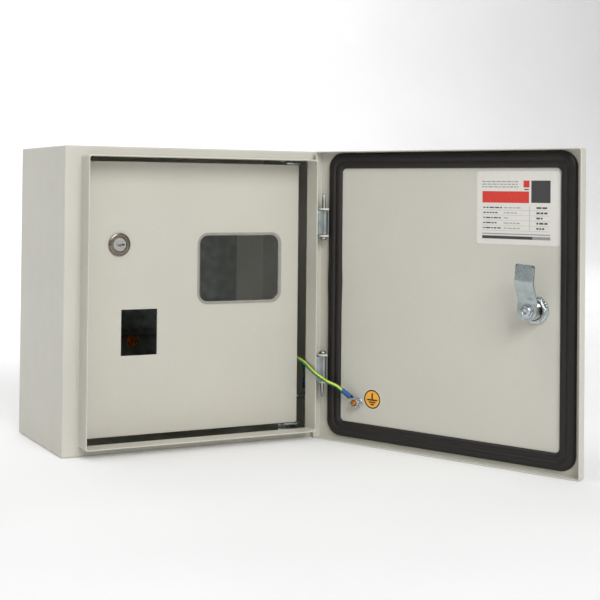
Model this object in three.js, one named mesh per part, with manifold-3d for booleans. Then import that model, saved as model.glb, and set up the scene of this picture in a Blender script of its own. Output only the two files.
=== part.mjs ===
import * as THREE from "three";
import Module from "manifold-3d";
import { mergeVertices } from "three/addons/utils/BufferGeometryUtils.js";

const wasm = await Module();
wasm.setup();

// Cabinet, in millimetres. X is to the right, -Y is the front, +Z is up.
// The origin is the centre of the cabinet's back face.
const WIDTH = 300;
const HEIGHT = 310;
const BODY_DEPTH = 142;
const SHEET = 1.2;
const CORNER = 2;
const GAP = 0.3;

// The upstanding lip around the front opening, which the door gasket closes on.
const LIP_DEPTH = 22;
const LIP_INSET_LEFT = 17.6;
const LIP_INSET_RIGHT = 22;
const LIP_INSET_ENDS = 9.4;

// Outer door: a shallow pan. s runs from its hinge edge, n in from its outer face.
const OVERALL_DEPTH = 170;
const DOOR_PAN = 12;
const DOOR_OPEN_DEG = 114.7;
const AXIS_S = 11.5;
const AXIS_N = 11.7;
const GASKET_THICK = 4.4;
const GASKET_WIDTH = 16.5;
const GASKET_S = [12.5, 292.5];
const GASKET_Z = [-150.3, 153.2];

// Hinges of the outer door.
const HINGE_Z = [78.2, -78.7];
const HINGE_HALF = 15.4;
const PIN_R = 2.25;
const PIN_CLEAR = 0.08;
const KNUCKLE_R = 4.5;

// Cam lock of the outer door.
const LOCK_S = 250.6;
const LOCK_Z = 0;
const CAM_REACH = 45;
const CAM_TAIL = -9.6;
const CAM_LOW = 18.5;
const CAM_HIGH = 29.6;
const CAM_THICK = 2.4;
const CAM_LEAN = (4 * Math.PI) / 180;

// Inner door, hung behind the lip.
const INNER_FRONT_Y = -133;
const INNER_LEFT = -128;
const INNER_RIGHT = 121.8;
const INNER_BOTTOM = -139.6;
const INNER_TOP = 140.2;
const INNER_SHEET = 1.5;
const INNER_RETURN = 8;
const INNER_AXIS_X = 115.5;
const PIVOT_TAB_LEFT = INNER_AXIS_X - 9.5;
const PIVOT_TAB_RIGHT = INNER_AXIS_X + 14.5;
const INNER_AXIS_Y = -127.5;
const BREAKER_SLOT = [-84.5, -44.8, -58.2, -11.2];
const WINDOW = [0.4, 100, -8.4, 67];
const INNER_LOCK_X = -87.8;
const INNER_LOCK_Z = 55.4;

// Mounting plate and rail inside.
const PLATE_HALF_W = 108;
const PLATE_HALF_H = 120;
const PLATE_STANDOFF = 9;
const PLATE_SHEET = 1.8;
const PLATE_HOLE_X = 98;
const PLATE_HOLE_Z = 110;
const RAIL_Z = -33.5;
const RAIL_HALF_LENGTH = 95;

// Fixing holes in the back wall.
const WALL_HOLE_X = 125;
const WALL_HOLE_Z = 135;
const WALL_HOLE_R = 4;

// Earth bonding points and the wire between them.
const SIDE_STUD = [148.5, -114, -115];
const DOOR_STUD_S = 50.5;
const DOOR_STUD_R = 3;
const LUG_RISE = Math.atan2(12.5, 15);
const DOOR_STUD_Z = -112;
const STUD_R = 2.5;
const WIRE_R = 2;
const LUG_TILT = 0.36;
const SLEEVE_START = 8.2;
const SLEEVE_LENGTH = 11.5;

const PAINT = { color: 0xd0cec4, roughness: 0.5, metalness: 0 };
const ZINC = { color: 0xb9bcc0, roughness: 0.35, metalness: 0.9 };
const STEEL = { color: 0x9a9ca0, roughness: 0.4, metalness: 0.9 };
const COPPER = { color: 0xb87345, roughness: 0.35, metalness: 0.9 };
const RUBBER = { color: 0x2b2624, roughness: 0.6, metalness: 0 };
const CLEAR = { color: 0xb9c0c2, roughness: 0.1, metalness: 0 };
const WIRE_GREEN = { color: 0x2f8a3a, roughness: 0.5, metalness: 0 };
const SLEEVE_BLUE = { color: 0x2f62b5, roughness: 0.5, metalness: 0 };
const PAPER = { color: 0xe7e5dc, roughness: 0.7, metalness: 0 };
const ORANGE = { color: 0xe2622b, roughness: 0.6, metalness: 0 };

const group = new THREE.Group();

// Turns a three.js geometry into a closed solid that can be cut and joined.
function solid(geometry) {
  const bare = geometry.clone();
  bare.deleteAttribute("normal");
  bare.deleteAttribute("uv");
  const merged = mergeVertices(bare, 1e-5);
  const mesh = new wasm.Mesh({
    numProp: 3,
    vertProperties: new Float32Array(merged.attributes.position.array),
    triVerts: new Uint32Array(merged.index.array),
  });
  return new wasm.Manifold(mesh);
}

function geometryOf(body) {
  const mesh = body.getMesh();
  const geometry = new THREE.BufferGeometry();
  geometry.setAttribute("position", new THREE.BufferAttribute(new Float32Array(mesh.vertProperties), 3));
  geometry.setIndex(new THREE.BufferAttribute(new Uint32Array(mesh.triVerts), 1));
  return geometry;
}

function addPart(name, body, look, matrix) {
  const geometry = geometryOf(body);
  if (matrix) geometry.applyMatrix4(matrix);
  geometry.computeVertexNormals();
  const mesh = new THREE.Mesh(geometry, new THREE.MeshStandardMaterial(look));
  mesh.name = name;
  group.add(mesh);
}

function box(x0, x1, y0, y1, z0, z1) {
  const geometry = new THREE.BoxGeometry(x1 - x0, y1 - y0, z1 - z0);
  geometry.translate((x0 + x1) / 2, (y0 + y1) / 2, (z0 + z1) / 2);
  return solid(geometry);
}

// A round bar from a to b, along axis "x", "y" or "z", centred on the other two coordinates.
function bar(axis, a, b, centre, radius, sides = 32, endRadius = radius) {
  const geometry = new THREE.CylinderGeometry(endRadius, radius, b - a, sides);
  if (axis === "x") geometry.rotateZ(-Math.PI / 2);
  if (axis === "z") geometry.rotateX(Math.PI / 2);
  const middle = (a + b) / 2;
  if (axis === "x") geometry.translate(middle, centre[0], centre[1]);
  if (axis === "y") geometry.translate(centre[0], middle, centre[1]);
  if (axis === "z") geometry.translate(centre[0], centre[1], middle);
  return solid(geometry);
}

// A rounded rectangle in X and Z, from y0 to y1.
function slab(x0, x1, z0, z1, y0, y1, radius, steps = 4) {
  const shape = new THREE.Shape();
  const corners = [
    [x1 - radius, z0 + radius, -Math.PI / 2],
    [x1 - radius, z1 - radius, 0],
    [x0 + radius, z1 - radius, Math.PI / 2],
    [x0 + radius, z0 + radius, Math.PI],
  ];
  let first = true;
  for (const [cx, cz, start] of corners) {
    for (let i = 0; i <= steps; i += 1) {
      const angle = start + (i / steps) * (Math.PI / 2);
      const x = cx + radius * Math.cos(angle);
      const z = cz + radius * Math.sin(angle);
      if (first) shape.moveTo(x, z);
      else shape.lineTo(x, z);
      first = false;
    }
  }
  const geometry = new THREE.ExtrudeGeometry(shape, { depth: y1 - y0, bevelEnabled: false });
  geometry.rotateX(Math.PI / 2);
  geometry.translate(0, y1, 0);
  return solid(geometry);
}

// A flat outline in X and Y, lifted from z0 to z1.
function plateXY(points, z0, z1) {
  const shape = new THREE.Shape(points.map(([x, y]) => new THREE.Vector2(x, y)));
  const geometry = new THREE.ExtrudeGeometry(shape, { depth: z1 - z0, bevelEnabled: false });
  geometry.translate(0, 0, z0);
  return solid(geometry);
}

// A hexagon nut or head along an axis.
function hex(axis, a, b, centre, acrossFlats) {
  return bar(axis, a, b, centre, acrossFlats / Math.sqrt(3), 6);
}

function ring(axis, a, b, centre, outer, inner, sides = 32) {
  const hole = bar(axis, a - 1, b + 1, centre, inner, sides);
  return bar(axis, a, b, centre, outer, sides).subtract(hole);
}

// Positions on the closed outer door, from its own s and n.
function doorX(s) {
  return WIDTH / 2 - s;
}

function doorY(n) {
  return n - OVERALL_DEPTH;
}

const AXIS_X = doorX(AXIS_S);
const AXIS_Y = doorY(AXIS_N);

// Door pieces are drawn with the door closed and swung out about the hinge pins.
const SWING = new THREE.Matrix4()
  .makeTranslation(AXIS_X, AXIS_Y, 0)
  .multiply(new THREE.Matrix4().makeRotationZ(THREE.MathUtils.degToRad(DOOR_OPEN_DEG)))
  .multiply(new THREE.Matrix4().makeTranslation(-AXIS_X, -AXIS_Y, 0));

const OPENING = {
  left: -WIDTH / 2 + LIP_INSET_LEFT,
  right: WIDTH / 2 - LIP_INSET_RIGHT,
  low: -HEIGHT / 2 + LIP_INSET_ENDS,
  high: HEIGHT / 2 - LIP_INSET_ENDS,
};

// Four sides, the front frame and the lip, folded from one sheet and open at the back.
function addCabinetShell() {
  const halfW = WIDTH / 2;
  const halfH = HEIGHT / 2;
  const inW = halfW - SHEET;
  const inH = halfH - SHEET;
  const o = OPENING;
  const front = -BODY_DEPTH;
  const lipFront = front - LIP_DEPTH;
  const outside = slab(-halfW, halfW, -halfH, halfH, front, 0, CORNER);
  const inside = slab(-inW, inW, -inH, inH, front + SHEET, 1, CORNER - SHEET, 2);
  const lip = slab(o.left, o.right, o.low, o.high, lipFront, front + SHEET / 2, 2.5);
  const mouth = slab(
    o.left + SHEET, o.right - SHEET, o.low + SHEET, o.high - SHEET,
    lipFront - 1, front + 2 * SHEET, 1.3,
  );
  addPart("cabinet_shell", outside.subtract(inside).add(lip).subtract(mouth), PAINT);
}

// The back wall, set between the four sides, with a fixing hole near each corner.
function addBackPanel() {
  const halfW = WIDTH / 2 - SHEET - GAP;
  const halfH = HEIGHT / 2 - SHEET - GAP;
  let panel = slab(-halfW, halfW, -halfH, halfH, -SHEET, 0, 0.6, 2);
  for (const x of [-WALL_HOLE_X, WALL_HOLE_X]) {
    for (const z of [-WALL_HOLE_Z, WALL_HOLE_Z]) {
      panel = panel.subtract(bar("y", -SHEET - 1, 1, [x, z], WALL_HOLE_R, 24));
    }
  }
  addPart("back_panel", panel, PAINT);
}

// Studs welded to the back wall carry the mounting plate between a spacer and a nut.
function addPlateFixings() {
  const names = ["upper_left", "upper_right", "lower_left", "lower_right"];
  const places = [
    [-PLATE_HOLE_X, PLATE_HOLE_Z],
    [PLATE_HOLE_X, PLATE_HOLE_Z],
    [-PLATE_HOLE_X, -PLATE_HOLE_Z],
    [PLATE_HOLE_X, -PLATE_HOLE_Z],
  ];
  const rear = -SHEET - GAP;
  const plateBack = rear - PLATE_STANDOFF - GAP;
  const plateFront = plateBack - PLATE_SHEET;
  places.forEach((place, i) => {
    const foot = bar("y", rear - PLATE_STANDOFF, rear, place, 5.5, 24);
    const thread = bar("y", plateFront - 9, rear - 1, place, 2.5, 24);
    addPart(`plate_stud_${names[i]}`, foot.add(thread), ZINC);
    const nut = hex("y", plateFront - GAP - 4, plateFront - GAP, place, 8);
    const bore = bar("y", plateFront - 10, plateFront + 1, place, 2.7, 24);
    addPart(`plate_nut_${names[i]}`, nut.subtract(bore), ZINC);
  });
  return { plateBack, plateFront, places };
}

function addMountingPlate(fix) {
  let plate = slab(
    -PLATE_HALF_W, PLATE_HALF_W, -PLATE_HALF_H, PLATE_HALF_H, fix.plateFront, fix.plateBack, 3,
  );
  for (const place of fix.places) {
    plate = plate.subtract(bar("y", fix.plateFront - 1, fix.plateBack + 1, place, 2.9, 24));
  }
  for (const x of RAIL_BOLT_X) {
    plate = plate.subtract(bar("y", fix.plateFront - 1, fix.plateBack + 1, [x, RAIL_Z], 2.7, 24));
  }
  const earth = [EARTH_X, EARTH_Z];
  plate = plate.subtract(bar("y", fix.plateFront - 1, fix.plateBack + 1, earth, 3.4, 24));
  addPart("mounting_plate", plate, PAINT);
}

const RAIL_BOLT_X = [-80, 62];
const EARTH_X = -23;
const EARTH_Z = -59;

// A 35 mm top-hat rail, 7.5 mm deep, bolted to the mounting plate.
function addRail(fix) {
  const back = fix.plateFront - GAP;
  const front = back - 7.5;
  const outline = [
    [-13.5, 0], [13.5, 0], [13.5, -6.5], [17.5, -6.5], [17.5, -7.5],
    [12.5, -7.5], [12.5, -1], [-12.5, -1], [-12.5, -7.5], [-17.5, -7.5],
    [-17.5, -6.5], [-13.5, -6.5],
  ];
  const shape = new THREE.Shape(outline.map(([z, y]) => new THREE.Vector2(z, y)));
  const length = RAIL_HALF_LENGTH * 2;
  const geometry = new THREE.ExtrudeGeometry(shape, { depth: length, bevelEnabled: false });
  const turn = new THREE.Matrix4().makeBasis(
    new THREE.Vector3(0, 0, 1), new THREE.Vector3(0, 1, 0), new THREE.Vector3(-1, 0, 0),
  );
  geometry.applyMatrix4(turn);
  geometry.translate(RAIL_HALF_LENGTH, back, RAIL_Z);
  let rail = solid(geometry);
  for (const x of RAIL_BOLT_X) {
    rail = rail.subtract(bar("y", front - 1, back + 1, [x, RAIL_Z], 2.7, 24));
  }
  for (let x = -45; x <= 45; x += 15) {
    const slot = slab(x - 5, x + 5, RAIL_Z - 2.6, RAIL_Z + 2.6, back - 2, back + 1, 2.5);
    rail = rail.subtract(slot);
  }
  addPart("din_rail", rail, ZINC);
  RAIL_BOLT_X.forEach((x, i) => {
    const seat = back - 1 - GAP;
    const head = hex("y", seat - 3.5, seat, [x, RAIL_Z], 8);
    const shank = bar("y", seat - 1, fix.plateBack + 2.5, [x, RAIL_Z], 2.45, 24);
    addPart(`rail_bolt_${i === 0 ? "left" : "right"}`, head.add(shank), ZINC);
  });
  return front;
}

// Copper earth stud on the mounting plate, with a flange behind and nuts in front.
function addPlateEarth(fix) {
  const place = [EARTH_X, EARTH_Z];
  const flange = bar("y", fix.plateBack + GAP, fix.plateBack + 2.5, place, 6, 24);
  const thread = bar("y", fix.plateFront - 16, fix.plateBack + 1, place, 3, 24);
  addPart("plate_earth_stud", flange.add(thread), COPPER);
  const washerFront = fix.plateFront - GAP - 1.2;
  addPart("plate_earth_washer", ring("y", washerFront, fix.plateFront - GAP, place, 7, 3.2), COPPER);
  const nutFront = washerFront - GAP - 5;
  const nut = hex("y", nutFront, washerFront - GAP, place, 10);
  const bore = bar("y", nutFront - 1, washerFront + 1, place, 3.2, 24);
  addPart("plate_earth_nut", nut.subtract(bore), COPPER);
}

// The side wall's earth stud, nut and the cable lug it clamps.
function addSideEarth() {
  const [wall, y, z] = SIDE_STUD;
  const centre = [y, z];
  const stud = bar("x", wall - 17, wall, centre, STUD_R, 24);
  const flange = bar("x", wall - 2, wall, centre, 6, 24);
  addPart("side_earth_stud", stud.add(flange), COPPER);
  const lugRight = wall - 2 - GAP;
  const lugLeft = lugRight - 1;
  const eye = bar("x", lugLeft, lugRight, centre, 5, 24);
  const neck = box(lugLeft, lugRight, y - 2, y + 2, z + 3, z + 11);
  const sleeve = bar("z", z + 9, z + 20, [lugLeft - 1.9, y], 2.9, 16);
  const hole = bar("x", lugLeft - 1, lugRight + 1, centre, STUD_R + 0.2, 24);
  addPart("wire_lug_body", eye.add(neck).subtract(hole).add(sleeve), SLEEVE_BLUE);
  const nut = hex("x", lugLeft - GAP - 4, lugLeft - GAP, centre, 8);
  const bore = bar("x", lugLeft - 10, lugLeft + 1, centre, STUD_R + 0.2, 24);
  addPart("side_earth_nut", nut.subtract(bore), ZINC);
  return new THREE.Vector3(lugLeft - 1.9, y, z + 20 + GAP);
}

// Knuckles: a tube on a leaf that is welded to the outer side of the lip.
function addKnuckles() {
  const names = ["upper", "lower"];
  const half = HINGE_HALF - 2.4;
  HINGE_Z.forEach((z, i) => {
    const centre = [AXIS_X, AXIS_Y];
    const tube = bar("z", z - half, z + half, centre, KNUCKLE_R);
    const web = box(OPENING.right + 1, AXIS_X, AXIS_Y - KNUCKLE_R, AXIS_Y - KNUCKLE_R + 2, z - half, z + half);
    const leafRight = OPENING.right + GAP + 2;
    const leafTop = AXIS_Y - KNUCKLE_R;
    const leaf = box(OPENING.right + GAP, leafRight, leafTop, -BODY_DEPTH - 4, z - half, z + half);
    const bore = bar("z", z - half - 1, z + half + 1, centre, PIN_R + PIN_CLEAR);
    addPart(`hinge_knuckle_${names[i]}`, tube.add(web).add(leaf).subtract(bore), PAINT);
  });
}

// A bracket on the door whose two ears hold the pin above and below the knuckle.
function addHingeBrackets() {
  const names = ["upper", "lower"];
  const ear = [];
  const earR = 6.8;
  const baseN = SHEET + GAP;
  const baseS = [3.5, 12.3];
  ear.push([AXIS_X + earR, doorY(baseN)]);
  for (let i = 0; i <= 16; i += 1) {
    const angle = (i / 16) * Math.PI;
    ear.push([AXIS_X + earR * Math.cos(angle), AXIS_Y + earR * Math.sin(angle)]);
  }
  ear.push([doorX(baseS[1]), doorY(7)]);
  ear.push([doorX(baseS[1]), doorY(baseN)]);
  HINGE_Z.forEach((z, i) => {
    const low = z - HINGE_HALF;
    let bracket = box(doorX(baseS[1]), doorX(baseS[0]), doorY(baseN), doorY(baseN + 2), low, z + HINGE_HALF);
    bracket = bracket.add(plateXY(ear, z + HINGE_HALF - 2, z + HINGE_HALF));
    bracket = bracket.add(plateXY(ear, z - HINGE_HALF, z - HINGE_HALF + 2));
    const bore = bar("z", z - 20, z + 20, [AXIS_X, AXIS_Y], PIN_R + PIN_CLEAR);
    addPart(`hinge_bracket_${names[i]}`, bracket.subtract(bore), PAINT, SWING);
  });
}

// Headed pins with a tapered tail. The upper one points up and the lower one down.
function addHingePins() {
  const names = ["upper", "lower"];
  HINGE_Z.forEach((z, i) => {
    const way = i === 0 ? 1 : -1;
    const start = -HINGE_HALF - GAP;
    const profile = [
      [0, start - 3.2], [2.9, start - 3.2], [3.6, start - 2.5], [3.6, start], [PIN_R, start],
      [PIN_R, HINGE_HALF + 5], [1.2, HINGE_HALF + 14.5], [0.7, HINGE_HALF + 15.2], [0, HINGE_HALF + 15.2],
    ];
    const points = profile.map(([r, h]) => new THREE.Vector2(r, h));
    const geometry = new THREE.LatheGeometry(points, 32);
    geometry.rotateX(way * (Math.PI / 2));
    geometry.translate(AXIS_X, AXIS_Y, z);
    addPart(`hinge_pin_${names[i]}`, solid(geometry), STEEL, SWING);
  });
}

function addOuterDoorPanel() {
  const half = WIDTH / 2;
  const halfH = HEIGHT / 2;
  const back = doorY(DOOR_PAN);
  const outside = slab(-half, half, -halfH, halfH, doorY(0), back, CORNER);
  const inside = slab(
    -half + SHEET, half - SHEET, -halfH + SHEET, halfH - SHEET, doorY(SHEET), back + 1, CORNER - SHEET, 2,
  );
  const lockHole = bar("y", doorY(-1), doorY(SHEET + 1), [doorX(LOCK_S), LOCK_Z], 9.9);
  addPart("outer_door_panel", outside.subtract(inside).subtract(lockHole), PAINT, SWING);
}

// Foamed seal in two steps: a broad foot and a narrower ridge that meets the lip.
function addGasket() {
  const left = doorX(GASKET_S[1]);
  const right = doorX(GASKET_S[0]);
  const [low, high] = GASKET_Z;
  const foot = SHEET + GAP;
  const mid = foot + GASKET_THICK * 0.45;
  const crown = SHEET + GASKET_THICK;
  const w = GASKET_WIDTH;
  const edge = 3;
  const outer = slab(left, right, low, high, doorY(foot), doorY(mid), 16, 6);
  const ridge = slab(left + edge, right - edge, low + edge, high - edge, doorY(mid - 0.5), doorY(crown), 13, 6);
  const hole = slab(left + w, right - w, low + w, high - w, doorY(0), doorY(crown + 2), 5, 4);
  addPart("door_gasket", outer.add(ridge).subtract(hole), RUBBER, SWING);
}

// Turns a body of the cam by its resting lean about the lock's axis.
function lean(body) {
  const geometry = geometryOf(body);
  geometry.translate(-doorX(LOCK_S), 0, -LOCK_Z);
  geometry.rotateY(-CAM_LEAN);
  geometry.translate(doorX(LOCK_S), 0, LOCK_Z);
  return solid(geometry);
}

// The lock's fixed case and its nut with a toothed flange.
function addOuterLock() {
  const centre = [doorX(LOCK_S), LOCK_Z];
  const rim = bar("y", doorY(-3), doorY(-GAP), centre, 13);
  const barrel = bar("y", doorY(-1), doorY(CAM_LOW - 1.5), centre, 9.5);
  const bore = bar("y", doorY(-4), doorY(CAM_LOW), centre, 6 + PIN_CLEAR, 48);
  addPart("outer_lock_case", rim.add(barrel).subtract(bore), ZINC, SWING);

  const flangeTop = 3;
  let nut = bar("y", doorY(SHEET + GAP), doorY(flangeTop), centre, 13.2);
  for (let i = 0; i < 24; i += 1) {
    const angle = (i / 24) * Math.PI * 2;
    const tooth = [centre[0] + 13.3 * Math.cos(angle), centre[1] + 13.3 * Math.sin(angle)];
    nut = nut.add(bar("y", doorY(SHEET + GAP), doorY(flangeTop), tooth, 1, 6));
  }
  nut = nut.add(hex("y", doorY(flangeTop - 0.5), doorY(8), centre, 22));
  nut = nut.subtract(bar("y", doorY(0), doorY(10), centre, 9.8));
  addPart("outer_lock_nut", nut, ZINC, SWING);
}

// The turning plug with the bent cam and its bolt.
function addOuterCam() {
  const centre = [doorX(LOCK_S), LOCK_Z];
  const plug = bar("y", doorY(-2.4), doorY(CAM_LOW - 0.4), centre, 6, 48);
  const squareEnd = doorY(CAM_LOW + CAM_THICK);
  const square = box(centre[0] - 3.5, centre[0] + 3.5, doorY(CAM_LOW - 1), squareEnd, LOCK_Z - 3.5, LOCK_Z + 3.5);
  const keyway = box(centre[0] - 3.4, centre[0] + 3.4, doorY(-3), doorY(4), centre[1] - 0.8, centre[1] + 0.8);
  addPart("outer_lock_plug", lean(plug.add(square).subtract(keyway)), ZINC, SWING);

  const half = 9.5;
  const t = CAM_THICK;
  const profile = [
    [CAM_TAIL, CAM_LOW], [10, CAM_LOW], [26.5, CAM_HIGH], [CAM_REACH, CAM_HIGH],
    [CAM_REACH, CAM_HIGH + t], [25.8, CAM_HIGH + t], [9.3, CAM_LOW + t], [CAM_TAIL, CAM_LOW + t],
  ];
  const shape = new THREE.Shape(profile.map(([z, n]) => new THREE.Vector2(z, n)));
  const geometry = new THREE.ExtrudeGeometry(shape, { depth: half * 2, bevelEnabled: false });
  const turn = new THREE.Matrix4().makeBasis(
    new THREE.Vector3(0, 0, 1), new THREE.Vector3(0, 1, 0), new THREE.Vector3(-1, 0, 0),
  );
  geometry.applyMatrix4(turn);
  geometry.translate(centre[0] + half, doorY(0), centre[1]);
  const blank = slab(
    centre[0] - half, centre[0] + half, centre[1] + CAM_TAIL, centre[1] + CAM_REACH, doorY(10), doorY(40), 5,
  );
  const eye = box(centre[0] - 3.8, centre[0] + 3.8, doorY(10), doorY(40), centre[1] - 3.8, centre[1] + 3.8);
  addPart("outer_lock_cam", lean(solid(geometry).intersect(blank).subtract(eye)), ZINC, SWING);

  const seat = CAM_LOW + CAM_THICK + 0.3;
  const head = hex("y", doorY(seat), doorY(seat + 4.3), centre, 10.5);
  const collar = bar("y", doorY(seat), doorY(seat + 1.1), centre, 6.6);
  addPart("outer_cam_bolt", lean(head.add(collar)), ZINC, SWING);
}

// Earth stud on the door with washer, nut and the ringed end of the bonding wire.
function addDoorEarth() {
  const x = doorX(DOOR_STUD_S);
  const z = DOOR_STUD_Z;
  const base = SHEET + GAP;
  const weld = bar("y", doorY(base), doorY(base + 1.2), [x, z], 6, 24);
  const thread = bar("y", doorY(base), doorY(11.5), [x, z], DOOR_STUD_R, 24);
  addPart("door_earth_stud", weld.add(thread), COPPER, SWING);
  const lugN = base + 1.2 + GAP;
  const hole = bar("y", doorY(0), doorY(20), [x, z], DOOR_STUD_R + 0.2, 24);
  const eye = bar("y", doorY(lugN), doorY(lugN + 1), [x, z], 5.4, 24);
  const angle = LUG_RISE;
  const neck = box(3, 10, -0.5, 0.5, -2, 2);
  const sleeve = geometryOf(bar("x", 0, SLEEVE_LENGTH, [0, 0], 2.9, 16));
  sleeve.rotateZ(LUG_TILT);
  sleeve.translate(SLEEVE_START, 2.5, 0);
  const tail = geometryOf(neck.add(solid(sleeve)));
  tail.rotateY(-angle);
  tail.translate(x, doorY(lugN + 0.5), z);
  addPart("wire_lug_door", eye.add(solid(tail)).subtract(hole), SLEEVE_BLUE, SWING);
  addPart("door_earth_washer", ring("y", doorY(lugN + 1.3), doorY(lugN + 2.3), [x, z], 6.3, 3.2), ZINC, SWING);
  const nut = hex("y", doorY(lugN + 2.6), doorY(lugN + 6.6), [x, z], 10);
  addPart("door_earth_nut", nut.subtract(hole), ZINC, SWING);
  return [SLEEVE_LENGTH + 7, SLEEVE_LENGTH + GAP].map((along) => {
    const point = new THREE.Vector3(along, 0, 0);
    point.applyAxisAngle(new THREE.Vector3(0, 0, 1), LUG_TILT);
    point.add(new THREE.Vector3(SLEEVE_START, 2.5, 0));
    point.applyAxisAngle(new THREE.Vector3(0, 1, 0), -angle);
    point.add(new THREE.Vector3(x, doorY(lugN + 0.5), z));
    return point.applyMatrix4(SWING);
  });
}

// The bonding wire: up the side wall, past the inner door's edge and over the lip.
function addEarthWire(start, doorEnd) {
  const route = [
    [start.x, start.y, start.z], [start.x - 1, start.y - 0.5, start.z + 8],
    [137, -117, -76.5], [128.8, -122, -71.6], [124.35, -131, -71.2],
    [124.35, -143, -73.5], [124.5, -156, -78.2], [125.2, -167, -82.8],
    [130, -171.3, -86.8], [137, -171.2, -91.2], ...doorEnd.map((p) => p.toArray()),
  ];
  const curve = new THREE.CatmullRomCurve3(route.map((p) => new THREE.Vector3(...p)), false, "centripetal");
  const circle = new THREE.Shape();
  circle.absarc(0, 0, WIRE_R, 0, Math.PI * 2);
  const geometry = new THREE.ExtrudeGeometry(circle, {
    steps: 70, curveSegments: 10, bevelEnabled: false, extrudePath: curve,
  });
  addPart("earth_wire", solid(geometry), WIRE_GREEN);
}

function addLabels() {
  const n0 = SHEET + 0.02;
  const n1 = SHEET + 0.3;
  const data = slab(doorX(275), doorX(188), 61.7, 133.5, doorY(n0), doorY(n1), 3);
  addPart("data_label", data, PAPER, SWING);
  const earth = bar("y", doorY(n0), doorY(n1), [doorX(68.4), -106.9], 10.9);
  addPart("earth_label", earth, ORANGE, SWING);
}

// Inner door: a flat sheet with returned edges, a breaker slot and a window.
function addInnerDoor() {
  const back = INNER_FRONT_Y + INNER_RETURN;
  const t = INNER_SHEET;
  const sheet = slab(INNER_LEFT, INNER_RIGHT, INNER_BOTTOM, INNER_TOP, INNER_FRONT_Y, INNER_FRONT_Y + t, 1);
  const leftEdge = box(INNER_LEFT, INNER_LEFT + t, INNER_FRONT_Y + t / 2, back, INNER_BOTTOM + 3, INNER_TOP - 3);
  let panel = sheet.add(leftEdge);
  for (const [low, high] of [[INNER_TOP - t, INNER_TOP], [INNER_BOTTOM, INNER_BOTTOM + t]]) {
    panel = panel.add(box(INNER_LEFT + 3, INNER_AXIS_X - 12, INNER_FRONT_Y + t / 2, back, low, high));
  }
  const [sx0, sx1, sz0, sz1] = BREAKER_SLOT;
  panel = panel.subtract(slab(sx0, sx1, sz0, sz1, INNER_FRONT_Y - 1, INNER_FRONT_Y + 3, 0.6, 2));
  const [wx0, wx1, wz0, wz1] = WINDOW;
  panel = panel.subtract(slab(wx0 + 3, wx1 - 3, wz0 + 3, wz1 - 3, INNER_FRONT_Y - 1, INNER_FRONT_Y + 3, 9, 4));
  const lock = [INNER_LOCK_X, INNER_LOCK_Z];
  panel = panel.subtract(bar("y", INNER_FRONT_Y - 1, INNER_FRONT_Y + 3, lock, 10.2));
  for (const z of [INNER_TOP, INNER_BOTTOM]) {
    const inward = z > 0 ? -1 : 1;
    const near = Math.min(z, z + inward * 2);
    const far = Math.max(z, z + inward * 2);
    const ear = box(INNER_AXIS_X - 5, INNER_AXIS_X + 5, INNER_FRONT_Y + 0.5, INNER_AXIS_Y + 5, near, far);
    panel = panel.add(ear);
    panel = panel.subtract(bar("z", near - 1, far + 1, [INNER_AXIS_X, INNER_AXIS_Y], PIN_R + 0.05));
  }
  addPart("inner_door_panel", panel, PAINT);
}

// Clear cover over the window opening, held by a step behind the sheet.
function addWindow() {
  const [x0, x1, z0, z1] = WINDOW;
  const f = INNER_FRONT_Y;
  const plate = slab(x0, x1, z0, z1, f - GAP - 2.2, f - GAP, 12, 6);
  const plug = slab(x0 + 3.4, x1 - 3.4, z0 + 3.4, z1 - 3.4, f - GAP - 1, f + INNER_SHEET + 0.5, 8.6, 4);
  let cover = plate.add(plug);
  for (const x of [x0 + 3.4, x1 - 3.4]) {
    const side = x < (x0 + x1) / 2 ? -1 : 1;
    const a = Math.min(x - side * 4, x + side * 2.4);
    const b = Math.max(x - side * 4, x + side * 2.4);
    for (const z of [(z0 + z1) / 2 - 22, (z0 + z1) / 2 + 22]) {
      cover = cover.add(box(a, b, f + INNER_SHEET + 0.3, f + INNER_SHEET + 1.8, z - 4, z + 4));
    }
  }
  addPart("inner_window", cover, CLEAR);
}

// The inner door's quarter-turn lock.
function addInnerLock() {
  const centre = [INNER_LOCK_X, INNER_LOCK_Z];
  const f = INNER_FRONT_Y;
  const rim = bar("y", f - GAP - 2.2, f - GAP, centre, 11.8);
  const barrel = bar("y", f - 1, f + 15, centre, 9.8);
  const bore = bar("y", f - 4, f + 16, centre, 7.6 + PIN_CLEAR, 48);
  addPart("inner_lock_case", rim.add(barrel).subtract(bore), ZINC);
  const nutBack = f + INNER_SHEET + GAP + 5;
  const nut = hex("y", f + INNER_SHEET + GAP, nutBack, centre, 24);
  addPart("inner_lock_nut", nut.subtract(bar("y", f - 1, nutBack + 1, centre, 10)), ZINC);
  const plug = bar("y", f - GAP - 1.8, f + 15.4, centre, 7.6, 48);
  const square = box(centre[0] - 3.5, centre[0] + 3.5, f + 15, f + 18, centre[1] - 3.5, centre[1] + 3.5);
  const key = box(centre[0] - 5.2, centre[0] + 5.2, f - 3, f + 3, centre[1] - 1.2, centre[1] + 1.2);
  addPart("inner_lock_plug", plug.add(square).subtract(key), ZINC);
  const cam = slab(centre[0] - 8, centre[0] + 8, centre[1] - 10, centre[1] + 44, f + 15.8, f + 17.8, 4);
  const eye = box(centre[0] - 3.8, centre[0] + 3.8, f + 15, f + 19, centre[1] - 3.8, centre[1] + 3.8);
  addPart("inner_lock_cam", cam.subtract(eye), ZINC);
  const head = hex("y", f + 18.3, f + 21.5, centre, 9);
  addPart("inner_cam_screw", head, ZINC);
}

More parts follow.
